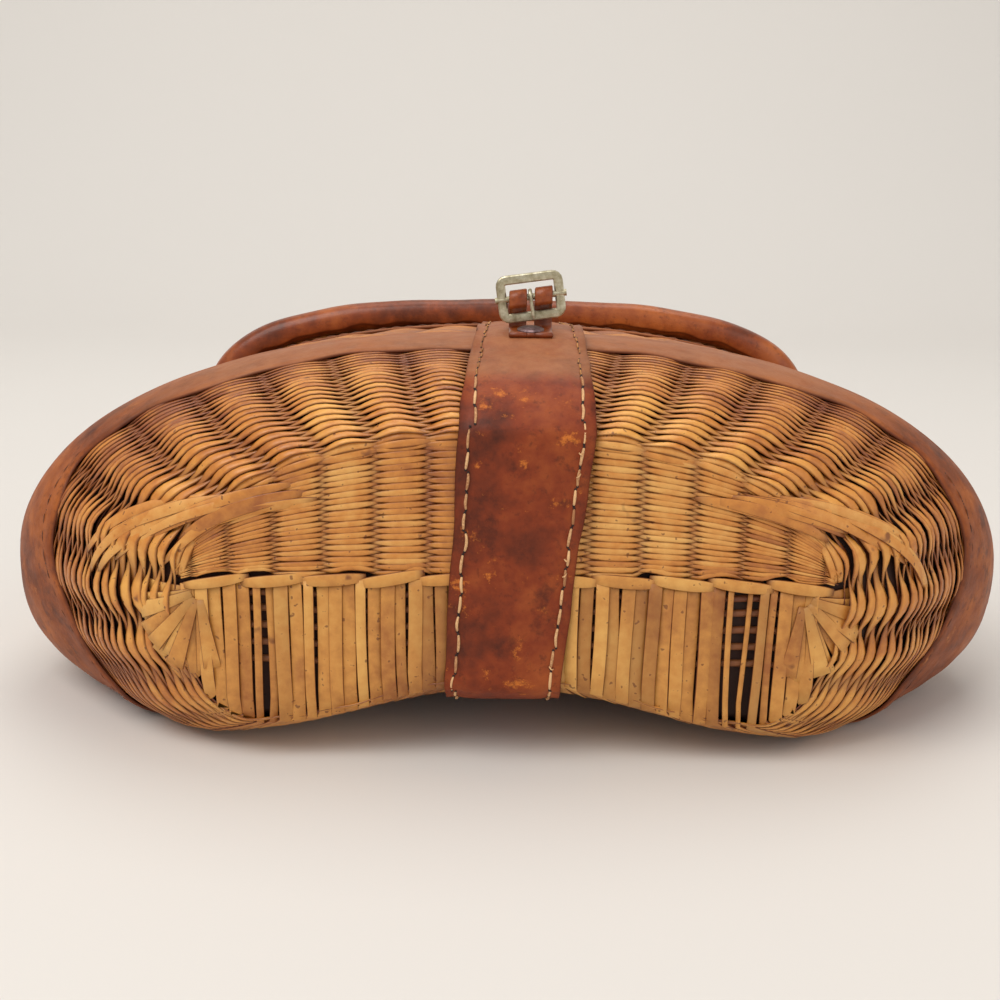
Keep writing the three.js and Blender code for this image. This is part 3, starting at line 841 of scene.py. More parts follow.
def base_weave():
    """Weavers across the front half of the base, converging towards its ends."""
    random = rng(11)
    strands = Strands()
    x = np.linspace(-1, 1, 129) * section_sizes(0.0)[0] * 0.985
    edge = np.interp(np.abs(x), BASE_LOOP[:130, 0], BASE_LOOP[:130, 1])
    crown = BASE_LOOP[0, 1]
    tight = (edge - SLAT_TOP) / (crown - SLAT_TOP)
    for k in range(int((crown - WEAVE_LOW) / BASE_ROW) + 1):
        level = WEAVE_LOW + k * BASE_ROW
        keep = tight > ROW_ENDS + ROW_ENDS_MORE * random.random()
        xs, squeeze = x[keep], tight[keep]
        if len(xs) < 6:
            continue
        zs = SLAT_TOP + (level - SLAT_TOP) / (crown - SLAT_TOP) * (edge[keep] - SLAT_TOP)
        column = edge_column(xs)
        wave = over_under(column, k % 2)
        turn = (1 - np.clip((crown - level) / EDGE_SPAN, 0, 1))**2 * EDGE_TURN
        wobble = 0.15 * MM * by_column(column, random, 8)
        lens = sum(np.clip(1 - ((xs / MM - at) / half)**2, 0, 1) for at, half in LENS_GAPS)
        lens = lens * LENS_RISE * max(0.0, 1 - k / LENS_ROWS)
        centre = np.stack([xs, BASE_Y - wave * WAVE + turn, zs + wobble + lens], 1)
        lean = np.gradient(zs, xs)
        side = unit(np.stack([-lean, np.zeros_like(lean), np.ones_like(lean)], 1))
        plump = 0.5 + 0.62 * np.abs(wave)**0.8 + 0.26 * wave + 0.05 * random.normal(size=len(xs))
        wide = BASE_ROW * np.maximum(squeeze, 0.3) * plump
        each = by_column(np.round(column), random, 8)
        # The deep layer paints shade where the weaver dips under a stake, and the edge layer paints shade down both
        # its sides.
        strands.add(split_rings(centre, side * wide[:, None], FACE, SPLIT_THICK * (1 + 0.2 * wave)),
                    tone=(0.6 * each + 0.4)[:, None], deep=((1 - wave) / 2)[:, None],
                    edge=np.abs(np.cos(OVAL))[None, :])
    return strands.make("base_weave", finishes()["base"], "willow", "basket")


# Rows that turn over the front edge: inset from the outline and rise up the wall, in millimetres,
# and how far each has turned from the base's face to the wall's.
EDGE_ROWS = ((3.0, -0.3, 0.1), (1.9, -0.2, 0.3), (0.9, 0.1, 0.55), (0.2, 0.7, 0.8))
EDGE_REACH = 0.232


def edge_rows():
    """Weavers that turn over the front edge, between the base's weave and the wall's."""
    random = rng(12)
    strands = Strands()
    share = np.linspace(-EDGE_REACH, EDGE_REACH, 241)
    column = share * STAKES
    for k, (inset, rise, turned) in enumerate(EDGE_ROWS):
        wave = over_under(column, (k + 1) % 2, 1.0)
        crest = crest_at(column) * turned
        at = ring(0.0, share, -inset * MM)
        at[:, 1] += rise * MM
        n = unit(turned * normals(0.5 * MM, share) + (1 - turned) * FACE)
        side = np.cross(tangents(at), n)
        side *= np.where(side[:, 1:2] < 0, -1, 1)
        fat = 0.7 + 0.5 * np.abs(wave)**0.8 + 0.2 * wave
        lift = wave * (0.8 + 0.4 * turned) * MM + crest * CREST_OUT
        centre = at + n * lift[:, None] + side * (crest * CREST_UP * ROW)[:, None]
        each = by_column(np.round(column), random, 9)
        half = side * (1.15 * MM * fat)[:, None]
        # The deep layer paints shade where the weaver dips under a stake, and the edge layer paints shade along its
        # lower edge.
        strands.add(split_rings(centre, half, n, SPLIT_THICK * (0.9 + 0.2 * wave)),
                    tone=(0.6 + 0.5 * each)[:, None], deep=((1 - wave) / 2)[:, None],
                    edge=LOW_EDGE_SHADE[None, :])
    return strands.make("edge_rows", finishes()["base"], "willow", "basket")


def back_share(x):
    """Share of the base's outline whose point lies at x along the back."""
    share = np.linspace(0.252, 0.748, 500)
    points, _ = along_loop(BASE_LOOP, share)
    return np.interp([-x], -points[:, 0], share)


# Slats, in millimetres: places along x, widths of thin ones and leans of sprung ones by place.
SLAT_PITCH = 4.4
SLAT_PLACES = np.arange(-105.6, 104.5, SLAT_PITCH)
SLAT_WIDTH = 4.65
THIN_SLATS = {-84: 2.3, -79: 2.6, -64: 3.1, -48: 3.2, -33: 3.3, 74: 1.7, 78: 1.4, 82.5: 2.9, 87: 2.2}
SPRUNG_SLATS = {-79: 1.3, -60: 0.7, 74: -1.2, 78: 1.1, 85: 1.8, 58: 0.6, -44: -0.6, 30: 0.5}
# Slats within this distance of the middle run up the back, over the weave. The others tuck under.
SLATS_RUN_ON = 84
RUN_HEIGHTS = np.array([0.4, 2, 6, 12, 20, 30, 41]) * MM
TUCK_SHARE = 0.12
OVER_WEAVE = 1.3 * MM
UNDER_WEAVE = -0.6 * MM
FACE_STEPS = 8


def top_of_slats(x, level, drop):
    """Height of the slats' upper end or the band over it, lower towards both ends of the base."""
    return level - drop * (abs(x) / 95)**1.5


def slats():
    """Flat splits over the rear of the base, round its back edge and up the back."""
    random = rng(5)
    strands = Strands()
    t = np.linspace(0, 1, FACE_STEPS + 1)[:-1]
    for i, x in enumerate(SLAT_PLACES):
        runs_on = abs(x) < SLATS_RUN_ON
        spring = sum(lean for place, lean in SPRUNG_SLATS.items() if abs(place - x) < SLAT_PITCH / 2)
        thin = [wide for place, wide in THIN_SLATS.items() if abs(place - x) < SLAT_PITCH / 2]
        share = back_share(x * MM)
        foot = ring(0.0, share)[0]
        top_x = (x * 1.01 + 0.3 * random.normal() + spring) * MM
        top_z = top_of_slats(x, SLAT_TOP, 2.4 * MM) + 1.5 * MM
        proud = (0.35 + 0.6 * (i % 2) + 0.2 * random.random()) * MM
        face = np.stack([top_x + (foot[0] - top_x) * t, np.full(FACE_STEPS, BASE_Y - proud),
                         top_z + (foot[2] + 1.4 * MM - top_z) * t], 1)
        face[:, 0] += 0.35 * MM * np.sin(t * 3 + random.random() * 6)
        heights = RUN_HEIGHTS * (1.0 if runs_on else TUCK_SHARE)
        grow = OVER_WEAVE if runs_on else UNDER_WEAVE
        back = np.concatenate([ring(y, share, grow) for y in heights])
        back_out = np.concatenate([normals(max(y, 2 * MM), share) for y in heights[1:]])
        out = np.concatenate([np.tile(FACE, (FACE_STEPS, 1)), [[0, -0.7, -0.7]], back_out])
        out[:, 0] += 0.10 * random.normal()
        wide = (thin[0] + 0.3 if thin else SLAT_WIDTH + 0.12 * random.normal()) * MM
        each = 0.8 * random.normal()
        thick = (0.95 + 0.1 * random.random()) * MM
        # The edge layer paints shade along each slat's sides; deep darkens some slats by a random amount.
        strip_along(strands, np.concatenate([face, back]), unit(out), wide, thick, tone=each,
                    deep=np.clip(0.1 + 0.25 * random.normal(), 0, 0.45), edge=STRIP_EDGE_SHADE)
    return strands.make("base_slats", finishes()["slat"], "willow", "basket")


# Rods, in millimetres: heights over the floor, and how far they reach to both sides.
ROD_HEIGHTS = (60.5, 55, 49, 43, 37)
ROD_REACH = 98


def rods():
    """Round rods inside the base, seen where slats have gone."""
    strands = Strands()
    random = rng(8)
    x = np.linspace(-ROD_REACH, ROD_REACH, 24)
    for z in ROD_HEIGHTS:
        path = np.stack([x, np.full(24, BASE_Y / MM + 1.35), z + 0.4 * np.sin(x / 9 + z)], 1) * MM
        radius = (1.25 + 0.1 * random.random()) * MM
        # The lowered tone and the deep layer paint shade on the rods, which lie inside the base.
        cord_along(strands, path, radius, tone=0.3 * random.normal() - 0.5, deep=0.75, edge=0)
    return strands.make("base_rods", finishes()["slat"], "willow", "basket")


# Twined splits, in millimetres: from middle to middle, their height and how far one end rises.
TWINE_PITCH = 19.5
TWINE_LEVEL = 67.2
TWINE_RISE = 1.3


def twined_band():
    """Overlapping twined splits that close the weave above the slats."""
    random = rng(3)
    strands = Strands()
    t = np.linspace(-1, 1, 13)
    for x in np.arange(-97.5, 98, TWINE_PITCH):
        level = top_of_slats(x, TWINE_LEVEL, 2.0)
        slope = (TWINE_RISE if x < 0 else -TWINE_RISE) * t + 0.25 * random.normal() * t
        y = BASE_Y / MM - 0.75 - 1.15 * np.cos(t * math.pi / 2) + 0.5 * np.abs(t)**4
        path = np.stack([x + t * TWINE_PITCH * 0.58, y, level + slope], 1) * MM
        wide = (4.3 - 2.0 * np.abs(t)**3 + 0.2 * random.normal()) * MM
        # The deep layer paints shade at each split's ends, where they tuck under, and the edge layer paints shade
        # along its sides.
        strip_along(strands, path, FACE, wide, 1.15 * MM, tone=0.6 + 0.5 * random.normal(),
                    deep=np.clip(np.abs(t)**6, 0, 0.8)[:, None], edge=STRIP_EDGE_SHADE)
    return strands.make("twined_band", finishes()["slat"], "willow", "basket")


# Fans of stake ends: where they start, their turns below the level in degrees and their widths.
FAN_X = 101 * MM
FAN_Z = 62 * MM
FAN_TURNS = np.linspace(6, 100, 12)
FAN_WIDTHS = (2.6, 6.0)


def end_splits():
    """Square-cut stake ends that fan out past both ends of the base, overlapping like feathers."""
    random = rng(9)
    strands = Strands()
    t = np.linspace(0.12, 1, 8)[:, None]
    for hand in (-1, 1):
        start = np.array([hand * FAN_X - 2 * MM, BASE_Y, FAN_Z])
        for i, turn in enumerate(FAN_TURNS):
            angle = math.radians(turn + 3 * random.normal())
            level, steep = math.cos(angle), math.sin(angle)
            long = (19 + 3 * random.random() + 9 * steep**2) * MM
            path = start + np.array([hand * level, 0.0, -steep]) * long * t
            lift = (0.9 + 0.8 * (i % 3) + 0.3 * random.random()) * MM
            sink = 8.5 * MM * level**2 + 1.5 * MM * (1 - level**2)
            path[:, 1] -= lift * t[:, 0]**0.3 - sink * t[:, 0]**2.4
            out = np.array([hand * 0.8 * level, -1.0, 0.0]) * t**2 + FACE * (1 - t**2)
            out[:, 2] += 0.12 * random.normal()
            wide = np.linspace(FAN_WIDTHS[0], FAN_WIDTHS[1] + 0.8 * random.random(), 8) * MM
            # The deep layer paints shade at each split's root, under the others, and the edge layer paints shade along
            # its sides.
            strip_along(strands, path, unit(out), wide, 0.9 * MM, tone=0.5 + 0.7 * random.normal(),
                        deep=(0.55 * (1 - t[:, 0]))[:, None], edge=STRIP_EDGE_SHADE)
    return strands.make("end_splits", finishes()["slat"], "willow", "basket")


# Distance before and after the rim over which a split turns from the base to the wall.
RIM_TURN = (-5 * MM, 6 * MM)


def over_rim(share, u):
    """Points and normals at u: inside the base's rim where negative, up the wall where positive."""
    points, out = [], []
    for a, b in zip(share, u):
        at = np.array([a])
        points.append(ring(max(b, 0.0), at, min(b, 0.0))[0])
        lean = smooth_step(np.array(b), *RIM_TURN)
        out.append(lean * normals(max(b, 0.5 * MM), at)[0] + (1 - lean) * FACE)
    points = np.array(points)
    for _ in range(2):
        points[1:-1] = (points[:-2] + 2 * points[1:-1] + points[2:]) / 4
    return points, unit(np.array(out))


# Corner splits: how many a side, and for the first and for each next one the share of the outline
# where it starts and stops, and its start and climb across the rim in millimetres.
CORNER_SPLITS = 11
SPLIT_SPAN = ((0.118, 0.007), (0.202, 0.004))
SPLIT_CLIMB = ((-13.0, 1.75), (11.0, 0.35))


def corner_splits():
    """Broad weavers that slant from the base's weave over its upper corners and down the wall."""
    random = rng(14)
    strands = Strands()
    t = np.linspace(0, 1, 19)
    swell = np.sin(math.pi * t)
    for hand in (-1, 1):
        for i in range(CORNER_SPLITS):
            start, stop, inside, climb = (a + b * i for a, b in SPLIT_SPAN + SPLIT_CLIMB)
            start += 0.004 * random.normal()
            stop += 0.007 * random.normal()
            share = start + (stop - start) * t
            u = (inside + climb * t**1.2 + 0.5 * random.normal()) * MM
            points, out = over_rim(share if hand > 0 else 1 - share, u)
            out[:, 2] += 0.12 * random.normal()
            out = unit(out)
            path = points + out * ((0.6 + (1.2 + 0.5 * (i % 2)) * swell**0.5) * MM)[:, None]
            wide = (0.8 + (3.1 + 0.5 * random.normal()) * swell**0.5) * MM
            # The deep layer paints shade at both ends of each split, where it dives under, and the edge layer paints
            # shade along its sides.
            strip_along(strands, path, out, wide, 0.8 * MM, tone=0.3 + 0.8 * random.normal(),
                        deep=(0.7 * np.abs(2 * t - 1)**4)[:, None], edge=STRIP_EDGE_SHADE)
    return strands.make("corner_splits", finishes()["base"], "willow", "basket")


# Leather

# Dust and a painted sheen lie on the leather that faces up, above these heights.
DUST_AND_SHEEN_FROM = 104 * MM
DUST_AND_SHEEN_SPAN = 22 * MM


def dust_and_sheen_at(points):
    """Dust on points of the basket's leather, by their height over the floor."""
    return np.clip((points[..., 2] - DUST_AND_SHEEN_FROM) / DUST_AND_SHEEN_SPAN, 0, 1)


def hoop_of_leather(node, loops, finish, body, edge):
    """Closed leather hoop through loops of points, in place of a CAD node. edge darkens each loop."""
    rings = np.array(loops)
    faces = tube_faces(len(rings), rings.shape[1], True)
    layer = np.repeat(np.asarray(edge, dtype=float), rings.shape[1])
    # Dust and painted sheen on the basket's leather only, none on the lid's.
    dust_and_sheen = dust_and_sheen_at(rings).ravel() * (body == "basket")
    layers = {"edge": layer, "tone": 0.0, "dust_and_sheen": dust_and_sheen}
    return new_object(node + "_leather", rings.reshape(-1, 3), faces, finishes()[finish],
                      finish + "_leather", body, layers, (node,))


def ripple(share, seed, waves, strength):
    """Smooth closed ripple round an outline."""
    random = rng(seed)
    value = sum(random.normal() * np.cos(2 * math.pi * (w * share + random.random())) for w in waves)
    return value / math.sqrt(len(waves)) * strength


# Section of the belly band: share from its lower to its upper edge, millimetres out from the
# basket and darkness, up its outer face and down its inner one.
BAND_SECTION = (
    (0.0, 1.7, 1.0), (0.01, 2.4, 0.55), (0.06, 2.7, 0), (0.16, 2.3, 0), (0.3, 2.6, 0), (0.5, 2.7, 0),
    (0.7, 2.6, 0), (0.86, 2.3, 0), (0.94, 2.6, 0), (0.99, 2.3, 0.55), (1.0, 1.7, 1.0),
    (1.0, 1.2, 1.0), (0.5, 1.3, 0), (0.0, 1.2, 1.0),
)


def belly_band():
    """Leather band sewn round the widest part, standing proud along its wavy lower edge."""
    share = np.arange(480) / 480
    low = band_edge(share) + ripple(share, 21, (5, 9, 17, 23, 31), 2.2 * MM)
    high = BAND_TO + ripple(share, 22, (4, 11, 19, 27), 1.2 * MM)
    swell = ripple(share, 23, (3, 7, 13, 23), 0.3 * MM)
    stand = 0.5 * MM * side_share(ring(BAND_FROM, share))
    loops = [wall_points(low + (high - low) * t, share, grow * MM + swell * math.sin(math.pi * t) + stand)
             for t, grow, _ in BAND_SECTION]
    return hoop_of_leather("belly_band", loops, "band", "basket", [dark for _, _, dark in BAND_SECTION])


# Centre strap: how far its middle stands to the right at the rear, the turn and the crest, and its
# widths there, as in the part's source.
STRAP_SHIFTS = (-1.4 * MM, 5.8 * MM, 7.2 * MM)
STRAP_WIDTHS = (39.5 * MM, 44.5 * MM, 38 * MM)
STRAP_SEAT = 1.6 * MM
STRAP_OVER_BAND = 3.3 * MM
STRAP_THICK = 2.0 * MM
# Heights between which the strap runs up the front and the back.
STRAP_TURN = 0.5 * MM
STRAP_END = 188 * MM
# Points across its face, and the share of its half width where its seam lies.
FACE_POINTS = 19
STRAP_SEAM = 0.80


def strap_seat(y):
    """Clearance below the strap, raised where it crosses the band."""
    near = max(BAND_FROM - y, y - BAND_TO, 0)
    ramp = float(smooth_step(1 - near / (8 * MM), 0.0, 1.0))
    return STRAP_SEAT + (STRAP_OVER_BAND - STRAP_SEAT) * ramp


def softened(rows, weights):
    """Rows with their last two columns smoothed along the strap."""
    rows = rows.copy()
    for k in (1, 2):
        padded = np.pad(rows[:, k], len(weights) // 2, mode="edge")
        rows[:, k] = np.convolve(padded, weights, mode="valid")
    return rows


def strap_path():
    """Points, outward normals, widths and distance of the strap's inner middle line."""
    crest = (BAND_FROM + BAND_TO) / 2
    rear, turn, top = STRAP_SHIFTS
    wide_rear, wide_turn, wide_top = STRAP_WIDTHS
    rows = []
    for y in np.linspace(STRAP_END, STRAP_TURN, 84):
        share = min(1.0, y / crest)
        rows.append((turn + (top - turn) * share, y, section_sizes(y)[3], strap_seat(y),
                     wide_turn + (wide_top - wide_turn) * share))
    _, _, _, front, _, hollow, _ = section_sizes(0.0)
    for t in np.linspace(0, 1, 40):
        rows.append((turn + (rear - turn) * t, 0.0, front + (hollow - front) * t, STRAP_SEAT,
                     wide_turn + (wide_rear - wide_turn) * t))
    for y in np.linspace(STRAP_TURN, STRAP_END, 60):
        _, foot, _, _, lift, high, _ = section_sizes(y)
        fall = (high - lift) * math.sin(math.pi / 4 * wide_rear / foot)**2
        rows.append((rear, y, high, strap_seat(y) + fall, wide_rear))
    rows = np.array(rows)
    line = rows[:, :3] + [0, BASE_Y, 0]
    run = unit(np.gradient(line[:, 1:], axis=0))
    out = unit(softened(np.stack([np.zeros(len(run)), run[:, 1], -run[:, 0]], 1), np.ones(5) / 5))
    centre = softened(line + out * rows[:, 3:4], [0.25, 0.5, 0.25])
    length = np.concatenate([[0], np.cumsum(np.linalg.norm(np.diff(centre, axis=0), axis=1))])
    return centre, out, rows[:, 4], length


def strap_point(path, distance, across):
    """Point on the strap's face at a distance along it and a share across it, and its normal."""
    centre, out, wide, length = path
    at = np.array([np.interp(distance, length, centre[:, k]) for k in range(3)])
    n = np.array([np.interp(distance, length, out[:, k]) for k in range(3)])
    n /= np.linalg.norm(n)
    half = np.interp(distance, length, wide) / 2
    return at + np.array([across * half, 0, 0]) + n * STRAP_THICK, n


def centre_strap():
    """Sewn strap down the front, under the base and up the back."""
    centre, out, wide, length = strap_path()
    face = np.linspace(-1, 1, FACE_POINTS)
    face[1], face[-2] = -0.985, 0.985
    rise = STRAP_THICK - 0.35 * MM * np.exp(-((np.abs(face) - STRAP_SEAM) / 0.05)**2)
    rise[0] = rise[-1] = STRAP_THICK * 0.45
    rise += 0.35 * MM * np.clip(1 - (face / 0.75)**4, 0, 1)
    across = np.concatenate([face, [1, 0, -1]])
    rise = np.concatenate([rise, np.zeros(3)])
    rings = centre[:, None] + out[:, None] * rise[None, :, None]
    rings[:, :, 0] += across[None, :] * wide[:, None] / 2
    random = rng(31)
    for hand in (-1, 1):
        ragged = np.interp(length, np.linspace(0, length[-1], 60), random.normal(size=60)) * 0.35 * MM
        rings[:, :, 0] += np.maximum(hand * across, 0)[None, :]**6 * ragged[:, None]
    number, around, _ = rings.shape
    points = rings.reshape(-1, 3)
    dark = np.where(np.abs(across) > 0.99, 1.0, np.where(np.abs(across) > 0.97, 0.7, 0.0))
    # Dust and painted sheen, kept off the strap under the base and within 12 mm above it.
    dust_and_sheen = dust_and_sheen_at(points) * np.clip((points[:, 1] - BASE_Y - 12 * MM) / (8 * MM), 0, 1)
    layers = {"edge": np.tile(dark, number), "tone": 0.0, "dust_and_sheen": dust_and_sheen}
    return new_object("centre_strap_leather", points, tube_faces(number, around, False),
                      finishes()["strap"], "strap_leather", "basket", layers, ("centre_strap",))


def one_stitch(strands, holes, start, stop, n, radius, random):
    """One thread stitch that rises out of a hole and dives into the next."""
    t = np.linspace(0, 1, 7)[:, None]
    arc = np.sin(math.pi * t) * radius * 1.3 - radius * 0.7
    bow = np.cross(n, stop - start) * (0.04 * random.normal())
    path = start + (stop - start) * t + n * arc + bow * np.sin(math.pi * t)
    cord_along(strands, path, radius * (0.75 + 0.35 * np.sin(math.pi * t[:, 0])), 6, tone=random.normal())
    # Near-black rings round each end paint the shade in the needle holes.
    for end in (start, stop):
        run = (stop - start) / np.linalg.norm(stop - start)
        side = np.cross(n, run)
        a = np.arange(6) * math.pi / 3
        hole = end + (run * np.cos(a)[:, None] * 1.1 + side * np.sin(a)[:, None]) * radius
        holes.add(np.array([hole - n * 0.4 * MM, hole + n * 0.06 * MM]), tone=0)


# Strap stitches, fine on the front and coarse under the base and up the back: from hole to hole
# and radius of the thread.
FINE_STITCH = (4.4 * MM, 0.28 * MM)
COARSE_STITCH = (7.0 * MM, 0.46 * MM)
FINE_UNTIL = STRAP_END - 16 * MM
# Loose thread ends: millimetres past the turn to the base, and which way they bend.
LOOSE_ENDS = ((10, 1), (16, -1), (46, 1), (50, -1), (84, 1))


def strap_stitches():
    """Waxed stitches down both edges of the centre strap, with a few frayed ends."""
    path = strap_path()
    random = rng(44)
    coarse, fine, holes = Strands(), Strands(), Strands()
    for hand in (-1, 1):
        d = 6 * MM
        while d < path[3][-1] - 8 * MM:
            strands, (pitch, radius) = (fine, FINE_STITCH) if d < FINE_UNTIL else (coarse, COARSE_STITCH)
            step = pitch * (1 + 0.06 * random.normal())
            across = hand * (0.82 + 0.012 * random.normal())
            start, n = strap_point(path, d + 0.4 * MM, across)
            stop, _ = strap_point(path, d + step - 0.5 * MM, across + 0.012 * random.normal())
            if random.random() > 0.03:
                one_stitch(strands, holes, start, stop, n, radius, random)
            d += step
    t = np.linspace(0, 1, 6)[:, None]
    for along, bend in LOOSE_ENDS:
        start, n = strap_point(path, STRAP_END + (5 + along) * MM, 0.84)
        loose = start + np.array([-1.3, -0.6, 1.1 * bend]) * MM * t + n * np.sin(math.pi * t) * 1.2 * MM
        cord_along(coarse, loose, 0.25 * MM, 6, tone=0.6)
    return (fine.make("strap_front_thread", finishes()["gold_thread"], "thread", "basket"),
            coarse.make("strap_thread", finishes()["waxed_thread"], "thread", "basket"),
            holes.make("strap_hole_shades", finishes()["hole_shade"], "strap_leather", "basket"))


# Hoops of stitches: distance out from the basket, length and radius of a stitch, seed, and how far
# to both sides of the front's middle there are none.
HOOP_STITCHES = {
    "band_lower": (2.75 * MM, 6.6 * MM, 0.34 * MM, 51, 165 * MM),
    "band_upper": (2.5 * MM, 6.6 * MM, 0.30 * MM, 52, 165 * MM),
    "mouth": (2.5 * MM, 6.0 * MM, 0.30 * MM, 53, 0.0),
}


def hoop_height(name, share):
    """Height of a hoop of stitches."""
    if name == "band_lower":
        return band_edge(share) + 4 * MM
    height = BAND_TO - 4 * MM if name == "band_upper" else MOUTH_LOW.y - BASE_Y + 3 * MM
    return np.full(len(share), height)


def hoop_stitches(name):
    """Stitches round the basket, through the belly band or the mouth's binding."""
    grow, pitch, radius, seed, bare = HOOP_STITCHES[name]
    random = rng(seed)
    strands, holes = Strands(), Strands()
    level = float(hoop_height(name, np.zeros(1))[0])
    around = along_loop(section_loop(section_sizes(level)), np.zeros(1))[1]
    count = int(around / pitch)
    gap = 0.1 / count
    for i in range(count):
        a = i / count
        if min(a, 1 - a) * around < bare:
            continue
        shares = np.array([a + gap, a + 1 / count - gap])
        y = hoop_height(name, shares)
        ends = wall_points(y, shares, grow)
        ends[:, 1] += 0.15 * MM * random.normal(size=2)
        n = normals(float(y.mean()), np.array([a + 0.5 / count]))[0]
        one_stitch(strands, holes, ends[0], ends[1], n, radius, random)
    strands.make(name + "_thread", finishes()["dark_thread"], "thread", "basket")
    holes.make(name + "_hole_shades", finishes()["hole_shade"], "band_leather", "basket")


def band_stitches():
    """Stitches along both edges of the belly band."""
    hoop_stitches("band_lower")
    hoop_stitches("band_upper")


def mouth_stitches():
    """Stitches through the mouth's binding."""
    hoop_stitches("mouth")


def mouth_binding():
    """Leather folded over the rim of the mouth."""
    share = np.arange(360) / 360
    low = MOUTH_LOW.y - BASE_Y
    top = MOUTH_HIGH.y - BASE_Y
    wave = ripple(share, 61, (5, 11, 23, 41), 0.6 * MM)
    # Height, millimetres out from the basket and edge darkness of each loop.
    rows = (
        (low, 1.4, 1.0), (low + 0.2 * MM, 2.3, 0.6), (low + 2 * MM, 2.5, 0), (low + 6 * MM, 2.5, 0),
        (top - 3 * MM, 2.4, 0), (top - 1 * MM, 1.6, 0), (top, 0.0, 0), (top, -4.4, 0),
        (top - 1 * MM, -6.0, 0), (top - 3 * MM, -6.6, 0), (low + 1 * MM, -6.6, 0), (low, -5.6, 1.0),
        (low + 0.5 * MM, -4.6, 0), (top - 4 * MM, -4.5, 0), (top - 4 * MM, 1.0, 0), (low + 0.5 * MM, 1.0, 0),
    )
    loops = []
    for y, grow, _ in rows:
        loop = ring(min(y, BASKET_RISE), share, grow * MM)
        loop[:, 1] = BASE_Y + y + wave * (y < low + MM)
        loops.append(loop)
    return hoop_of_leather("mouth_binding", loops, "band", "basket", [dark for _, _, dark in rows])


# Lid

LID_LOOP = section_loop(np.array(LID_SECTION) * SECTION_UNITS, LID_FRONT)


def lid_loop(share, y, grow):
    """Points of the lid's outline in the plane at y, moved outwards by grow."""
    return grown_loop(LID_LOOP, share, grow, y)


# Section of the lid's rolled edge: share from its lower to its upper face, millimetres out from
# the lid's outline and darkness.
ROLL_SECTION = (
    (0.02, -9.6, 1), (0.0, -8.6, 0.3), (0.02, -4.6, 0), (0.1, -1.8, 0), (0.25, -0.4, 0), (0.5, 0.4, 0),
    (0.75, -0.4, 0), (0.9, -1.8, 0), (0.98, -4.6, 0), (1.0, -8.6, 0), (0.99, -11.4, 0.3), (0.95, -12.0, 1),
    (0.8, -11.8, 0), (0.2, -11.8, 0),
)


def lid_binding():
    """Rolled leather edge of the lid, with a wavy raw edge inside and out."""
    share = np.arange(400) / 400
    dent = ripple(share, 71, (3, 7, 12, 21), 0.7 * MM)
    raw = ripple(share, 72, (6, 13, 29, 43), 0.66 * MM)
    loops = []
    for t, grow, dark in ROLL_SECTION:
        out = grow * MM + dent * max(0.0, 1 + grow / 6) + raw * (dark > 0)
        loops.append(lid_loop(share, LID_LOW.y + (LID_HIGH.y - LID_LOW.y) * t, out))
    return hoop_of_leather("lid_binding", loops, "lid", "lid", [dark for _, _, dark in ROLL_SECTION])


# Lid's weave: rows from middle to middle, stakes apart, and how far it stays inside the outline.
LID_ROW = 1.5 * MM
LID_STAKE = 17 * MM
LID_INSET = 11.0 * MM
LID_MIDDLE = (PANEL_LOW.y + PANEL_HIGH.y) / 2


def lid_weave():
    """Woven lid seen from both sides."""
    random = rng(81)
    strands = Strands()
    outline = lid_loop(np.linspace(0, 1, 721), LID_MIDDLE, -LID_INSET)
    low, high = outline[:, 2].min(), outline[:, 2].max()
    right = outline[:360]
    order = np.argsort(right[:, 2])
    for k, z in enumerate(np.arange(low + 1.2 * MM, high - 0.6 * MM, LID_ROW)):
        reach = float(np.interp(z, right[order, 2], right[order, 0])) - 0.5 * MM
        if reach < 10 * MM:
            continue
        x = np.linspace(-reach, reach, max(9, int(reach / (2.2 * MM))))
        column = x / LID_STAKE
        wave = over_under(column, k % 2)
        for face in (-1, 1):
            y = LID_MIDDLE + face * 0.9 * MM + wave * 0.9 * MM
            centre = np.stack([x, y, np.full(len(x), z)], 1)
            side = np.array([0.0, 0.0, 0.85 * LID_ROW]) * (1 + 0.2 * wave * face)[:, None]
            each = by_column(np.round(column), random, 12)
            # The deep layer paints shade where the weaver dips under a stake on each face, and the edge layer paints
            # shade down both its sides.
            strands.add(split_rings(centre, side, -face * FACE, 1.1 * MM), tone=(0.6 * each)[:, None],
                        deep=((1 - wave * face) / 2)[:, None], edge=np.abs(np.cos(OVAL))[None, :])
    return strands.make("lid_weave", finishes()["wall"], "willow", "lid", ("lid_panel",))


def lid_core():
    """Thin dark core between the lid's two woven faces."""
    share = np.arange(SKIN_POINTS) / SKIN_POINTS
    rings = np.array([lid_loop(share, LID_MIDDLE + y * MM, -LID_INSET - 0.5 * MM) for y in (-0.4, 0.4)])
    points = np.concatenate([rings.reshape(-1, 3), rings.mean(axis=1)])
    last = len(points) - 2
    low = [quad[::-1] for quad in closing_quads(0, SKIN_POINTS, last)]
    high = closing_quads(SKIN_POINTS, SKIN_POINTS, last + 1)
    faces = np.concatenate([tube_faces(2, SKIN_POINTS, False, caps=False), low, high])
    return new_object("lid_core", points, faces, finishes()["lining"], "willow", "lid", PLAIN_LAYERS)


# Buckle

# The buckle's leather and the bar that it holds, with the clearance round the bar, the bend where
# the leather leaves the strap, and half the slot that the prong goes through.
CHAPE_THICK = 1.6 * MM
BAR_RADIUS = 1.2 * MM
BAR_CLEAR = 0.35 * MM
CHAPE_BEND = 2.2 * MM
SLOT_HALF = 1.4 * MM
FOOT_STEPS = 8


